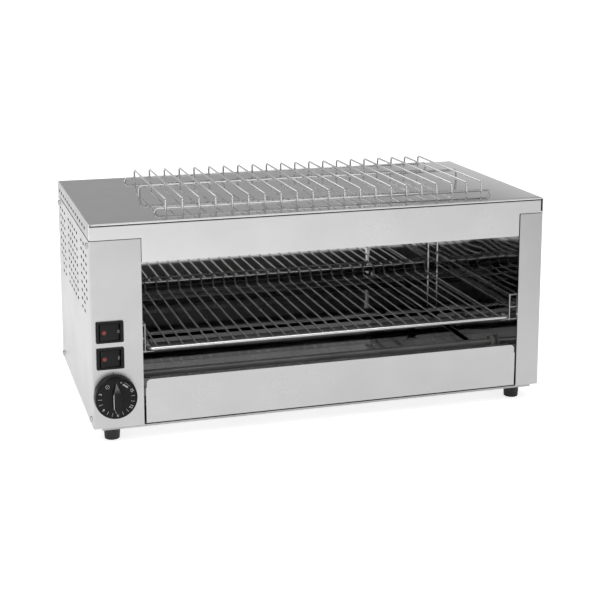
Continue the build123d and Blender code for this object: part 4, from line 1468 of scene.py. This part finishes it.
    def settle(self, blank: Blank, before: set[Vert], angle: float, out: float = 0.0) -> None:
        """Move new print from the knob's middle to its place.

        Args:
            blank: the print's mesh.
            before: its vertices without the new print.
            angle: angle in degrees round the knob, where the print's top points.
            out: distance from the axis.
        """
        new, faces = blank.since(before)
        blank.face_up(faces)
        lift = self.place @ Matrix.Translation((0.0, 0.0, self.skirt - self.sunk + self.print_lead))
        turn = Matrix.Rotation(math.radians(angle) - QUARTER, 4, "Z")
        blank.place(lift @ turn @ Matrix.Translation((0.0, out, 0.0)), new)

    def stamp(self, blank: Blank, outline: Sequence[Flat], angle: float) -> None:
        """Print a flat shape, with Y outwards, at an angle in degrees round the knob."""
        before = set(blank.mesh.verts)
        blank.plate(outline)
        self.settle(blank, before, angle)

    def number(self, blank: Blank, number: str, angle: float) -> None:
        """Print a number.

        Args:
            blank: the print's mesh.
            number: the number.
            angle: angle in degrees round the knob.
        """
        curve = bpy.data.curves.new("number", "FONT")
        curve.body = number
        curve.size = self.number_size
        curve.align_x = "CENTER"
        curve.align_y = "CENTER"
        curve.resolution_u = 4
        curve.offset = self.number_weight
        text = bpy.data.objects.new("number", curve)
        mesh = bpy.data.meshes.new_from_object(text)
        before = set(blank.mesh.verts)
        blank.mesh.from_mesh(mesh)
        self.settle(blank, before, angle, self.number_out)
        bpy.data.objects.remove(text)
        bpy.data.curves.remove(curve)
        bpy.data.meshes.remove(mesh)


@dataclass
class Switches(Assembly):
    """Two rocker switches with a red lens each."""

    bezel: Flat = (31.1, 24.6)
    bezel_t: float = 2.0
    window: Flat = (24.0, 20.2)
    box: Flat = (27.6, 22.2)
    box_t: float = 11.0
    well: float = 11.0
    rocker_w: float = 22.6
    rocker_gap: float = 0.3
    pivot: float = 4.0
    back: float = 4.0
    tilt: float = 7.0
    lens_x: float = -6.9
    sign_t: float = 0.1

    def build(self) -> None:
        """Build both switches."""
        for (name, z), body in zip(self.casing.switch_zs, (Body.ROCKER_UPPER, Body.ROCKER_LOWER)):
            self.housing(name, self.casing.base + z)
            self.rocker(name, self.casing.base + z, body)

    def housing(self, name: str, height: float) -> None:
        """Bezel with round corners and the box and well behind it.

        Args:
            name: upper or lower.
            height: height of its middle.
        """
        window = rounded_box(*self.window, 0.8)
        blank = Blank()
        blank.slab(rounded_box(*self.bezel, 1.6, 4), self.bezel_t, self.bezel_t, [blank.loop(window)])
        blank.bevel(0.55, 3, sharp=50.0)
        box = Blank()
        box.slab(rounded_box(*self.box, 1.0), 0.0, self.well - self.bezel_t, [box.loop(window)])
        floor = Blank()
        floor.slab(rounded_box(*self.box, 1.0), self.bezel_t - self.well, self.box_t)
        blank.absorb(box)
        blank.absorb(floor)
        blank.place(facing(Side.FRONT, self.casing.left + self.casing.switch_x, self.casing.front, height))
        self.hand_over(blank, f"switch_bezel_{name}", Body.CASING, "black moulding",
                       [f"switch_housing_{name}"])

    def rocker(self, name: str, height: float, body: Body) -> None:
        """Rocker with soft edges and a dished face, its lens and its sign.

        Args:
            name: upper or lower.
            height: height of its middle.
            body: body that it rides on.
        """
        case = self.casing
        half, depth, top = self.rocker_w / 2, self.window[1] / 2 - self.rocker_gap, self.pivot
        pivot = facing(Side.FRONT, case.left + case.switch_x, case.front - self.bezel_t + top, height)
        place = pivot @ Matrix.Rotation(math.radians(self.tilt), 4, "Y")
        outline = [(-half, 0.0), (-half + 2.0, -self.back), (half - 2.0, -self.back), (half, 0.0),
                   (half, top - 0.9), (half - 3.4, top), (3.6, top - 0.3), (0.0, top - 0.42),
                   (-3.2, top - 0.3), (-half + 3.4, top), (-half, top - 0.9)]
        blank = Blank()
        blank.prism([(x, -depth, z) for x, z in outline], (0.0, 2 * depth, 0.0))
        blank.face_out()
        blank.bevel(0.5, 3, sharp=50.0)
        blank.place(place)
        self.hand_over(blank, f"rocker_{name}", body, "black moulding", [f"switch_rocker_{name}"],
                       smooth=30.0)
        lens = Blank()
        lens.lathe([(0.0, top - 1.6), (2.55, top - 1.6), (2.55, top - 0.1), (2.3, top + 0.2),
                    (1.6, top + 0.36), (0.0, top + 0.4)], place @ Matrix.Translation((self.lens_x, 0, 0)),
                   steps=28)
        self.hand_over(lens, f"lens_{name}", body, "red lens", [f"switch_lens_{name}"])
        sign = Blank()
        slope = Matrix.Rotation(math.atan2(0.9, 3.4), 4, "Y")
        sign.fill([edge for length, width in ((3.4, 2.3), (2.5, 1.4))
                   for edge in sign.round_hole((0.0, 0.0), length, width, 16, upright=True)])
        sign.face_up()
        sign.thicken(self.sign_t)
        sign.place(place @ Matrix.Translation((half - 1.75, 0, top - 0.42)) @ slope)
        self.hand_over(sign, f"rocker_sign_{name}", body, "white print")


@dataclass
class Gland(Assembly):
    """Cable gland in the back cover, with a ribbed thread, a hexagon and a dome."""

    x: float = 28.0
    z: float = 32.0
    bore: float = 4.0
    flats: float = 22.0
    hexagon_h: float = 6.0
    ribs: int = 6
    rib_pitch: float = 1.5

    def build(self) -> None:
        """Build the dome, the thread and the hexagon in one piece."""
        case = self.casing
        place = facing(Side.BACK, case.left + self.x, case.back, case.base + self.z)
        bore = self.bore
        blank = Blank()
        blank.lathe([(bore, 6.0), (9.2, 6.0), (9.5, 6.4), (9.4, 9.0), (8.9, 12.0), (8.0, 15.5), (7.0, 18.6),
                     (6.4, 19.6), (5.6, 20.0), (bore + 0.5, 19.8), (bore, 19.0), (bore, 6.0)], place,
                    steps=40)
        thread = [(bore, -10.0), (7.4, -10.0)]
        for rib in range(self.ribs):
            thread += [(8.0, -9.4 + rib * self.rib_pitch), (7.5, -8.7 + rib * self.rib_pitch)]
        blank.lathe(thread + [(8.0, -0.2), (8.0, 1.0), (bore, 1.0), (bore, -10.0)], place, steps=32)
        nut = Blank()
        outline = polygon(self.flats / 2 / math.cos(math.pi / 6), 6, math.pi / 6)
        hole = nut.round_hole((0.0, 0.0), bore * 2, bore * 2, 32)
        nut.slab(outline, self.hexagon_h, self.hexagon_h, [hole])
        nut.bevel(0.5, 2, sharp=50.0)
        nut.place(place)
        blank.absorb(nut)
        self.hand_over(blank, "gland_body", Body.CASING, "black moulding", ["cable_gland"])


class CarriedOver:
    """CAD nodes that stay as they are and only get their finish."""

    TABLE = {
        "header steel with painted light": ("front_header",),
        "satin front steel": ("tray_front",),
        "satin side steel": ("back_cover",),
        "frame steel": ("rear_crossbar", "base_plate", "tube_caps"),
        "mirror steel": ("cavity_back_wall",),
        "tray steel": ("tray_pan",),
        "wavy mirror steel": ("cavity_left_wall", "cavity_right_wall", "upper_reflector"),
        "coil wire": ("heating_coils",),
        "grey moulding": ("timer_body", "terminal_block", "gland_nut"),
        "screw steel": ("timer_shaft",),
        "terminal brass": ("switch_blades",),
    }

    def __init__(self, finishes: Finishes, nodes: dict[str, bpy.types.Object]) -> None:
        """Keep the finishes and the frame's nodes."""
        self.finishes = finishes
        self.nodes = nodes

    def dress(self) -> None:
        """Give every node in the table its finish."""
        for finish, names in self.TABLE.items():
            for name in names:
                self.finishes.dress(self.nodes[name], finish)
        for name, node in self.nodes.items():
            if not node.hide_render and not any(name in names for names in self.TABLE.values()):
                LOG.warning("%s keeps its packed material", name)


# Studio


def hang(name: str, data: bpy.types.ID, place: Point, look: Vector) -> bpy.types.Object:
    """Put a lamp or a camera in the scene.

    Args:
        name: its name.
        data: the lamp or camera.
        place: its place in metres.
        look: direction in which it looks.

    Returns:
        Its object.
    """
    piece = bpy.data.objects.new(name, data)
    piece.location = place
    piece.rotation_euler = look.to_track_quat("-Z", "Y").to_euler()
    bpy.context.scene.collection.objects.link(piece)
    return piece


@dataclass(frozen=True)
class Lamp:
    """One soft lamp, with its place, aim and size in metres and its power in watts."""

    name: str
    place: Point
    aim: Point
    size: Flat
    power: float

    def build(self) -> None:
        """Hang the lamp."""
        data = bpy.data.lights.new(self.name, "AREA")
        data.shape = "RECTANGLE"
        data.size, data.size_y = self.size
        data.energy = self.power
        hang(self.name, data, self.place, Vector(self.aim) - Vector(self.place))


@dataclass
class Studio:
    """Floor, world, lamps and camera."""

    floor_size: float = 60.0
    floor_grey: float = 0.82
    floor_roughness: float = 0.9
    floor_strength: float = 0.7
    mirrored: Flat = (0.56, 0.18)
    mirrored_xs: Flat = (-0.4, 1.2)
    wall_strength: float = 0.92
    ceiling_strength: float = 0.43
    ceiling_start: Flat = (0.07, 0.14)
    camera_place: Point = (-0.46052, -1.55853, 0.55972)
    yaw: float = 0.2930
    pitch: float = 0.1779
    focal_px: float = 1319.69
    frame_px: float = 600.0
    shift_y: float = -0.2
    lamps: tuple[Lamp, ...] = (
        Lamp("key", (-1.4, -1.8, 2.0), (0.0, 0.0, 0.1), (1.4, 1.4), 12.0),
        Lamp("overhead", (0.1, -0.9, 1.9), (0.0, -0.1, 0.1), (1.6, 0.7), 7.0),
        Lamp("side", (-1.5, -0.9, 0.72), (-0.2, -0.1, 0.72), (0.35, 1.3), 1.9),
        Lamp("back", (0.3, 2.0, 1.8), (0.0, 0.0, 0.2), (1.6, 1.6), 10.0),
    )

    def build(self) -> None:
        """Build the whole studio."""
        bpy.context.scene.view_settings.view_transform = "Standard"
        self.floor()
        self.world()
        for lamp in self.lamps:
            lamp.build()
        self.camera()

    def shown(self, sheet: NodeSheet) -> Socket:
        """Strength that the camera, mirrors and glass see, and nothing for the light itself.

        In mirrors the floor falls off to the right, as a table lit from the left does.

        Args:
            sheet: node sheet that takes the nodes.

        Returns:
            The strength's socket.
        """
        rays = sheet.add("LightPath", {}).node.outputs
        mirrored = sheet.add("Math", {0: rays["Is Glossy Ray"], 1: rays["Is Transmission Ray"]},
                             operation="ADD", use_clamp=True)
        across = sheet.add("SeparateXYZ", {0: sheet.place()}, "X")
        fall = sheet.spread(across, *self.mirrored, *self.mirrored_xs)
        faded = sheet.add("Math", {0: mirrored, 1: fall}, operation="MULTIPLY")
        return sheet.add("Math", {0: rays["Is Camera Ray"], 1: self.floor_strength, 2: faded},
                         operation="MULTIPLY_ADD")

    def floor(self) -> None:
        """Pale floor that keeps the object's shadow."""
        blank = Blank()
        bmesh.ops.create_grid(blank.mesh, x_segments=1, y_segments=1, size=self.floor_size / 2 / MM)
        floor = blank.finish("floor")
        material = bpy.data.materials.new("pale floor")
        material.use_nodes = True
        sheet = NodeSheet(material.node_tree)
        sheet.feed(material.node_tree.nodes["Principled BSDF"],
                   {"Base Color": (self.floor_grey, self.floor_grey, self.floor_grey, 1.0),
                    "Roughness": self.floor_roughness, "Specular IOR Level": 0.0, "Emission Color": WHITE,
                    "Emission Strength": self.shown(sheet)})
        floor.data.materials.append(material)

    def world(self) -> None:
        """Plain pale surroundings, white to the camera, with a grey ceiling in what they light."""
        world = bpy.data.worlds.new("studio")
        world.use_nodes = True
        bpy.context.scene.world = world
        sheet = NodeSheet(world.node_tree)
        height = sheet.add("SeparateXYZ", {0: sheet.add("TexCoord", {}, "Generated")}, "Z")
        shade = sheet.spread(height, self.wall_strength, self.ceiling_strength, *self.ceiling_start)
        direct = sheet.add("LightPath", {}, "Is Camera Ray")
        seen = sheet.add("Math", {0: shade, 1: direct}, operation="MAXIMUM")
        sheet.feed(world.node_tree.nodes["Background"], {"Color": WHITE, "Strength": seen})

    def camera(self) -> None:
        """Camera of the photograph's viewing angle."""
        data = bpy.data.cameras.new("camera")
        data.sensor_width = 36.0
        data.lens = self.focal_px / self.frame_px * data.sensor_width
        data.shift_y = self.shift_y
        data.clip_end = 200.0
        look = Vector((math.sin(self.yaw) * math.cos(self.pitch), math.cos(self.yaw) * math.cos(self.pitch),
                       -math.sin(self.pitch)))
        bpy.context.scene.camera = hang("camera", data, self.camera_place, look)


def main() -> None:
    """Load the frame, build every sub-assembly, dress the carried-over nodes and build the studio."""
    logging.basicConfig(level=logging.INFO, format="%(name)s: %(message)s")
    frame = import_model()
    finishes = Finishes()
    casing = Casing.from_frame()
    for kind in (Covers, Seams, Fasteners, Feet, Heaters, Shelf, Rack, Timer, Switches, Gland):
        kind(finishes, casing).build()
    CarriedOver(finishes, frame["nodes"]).dress()
    Studio().build()
    bpy.context.view_layer.update()


if __name__ == "__main__":
    main()
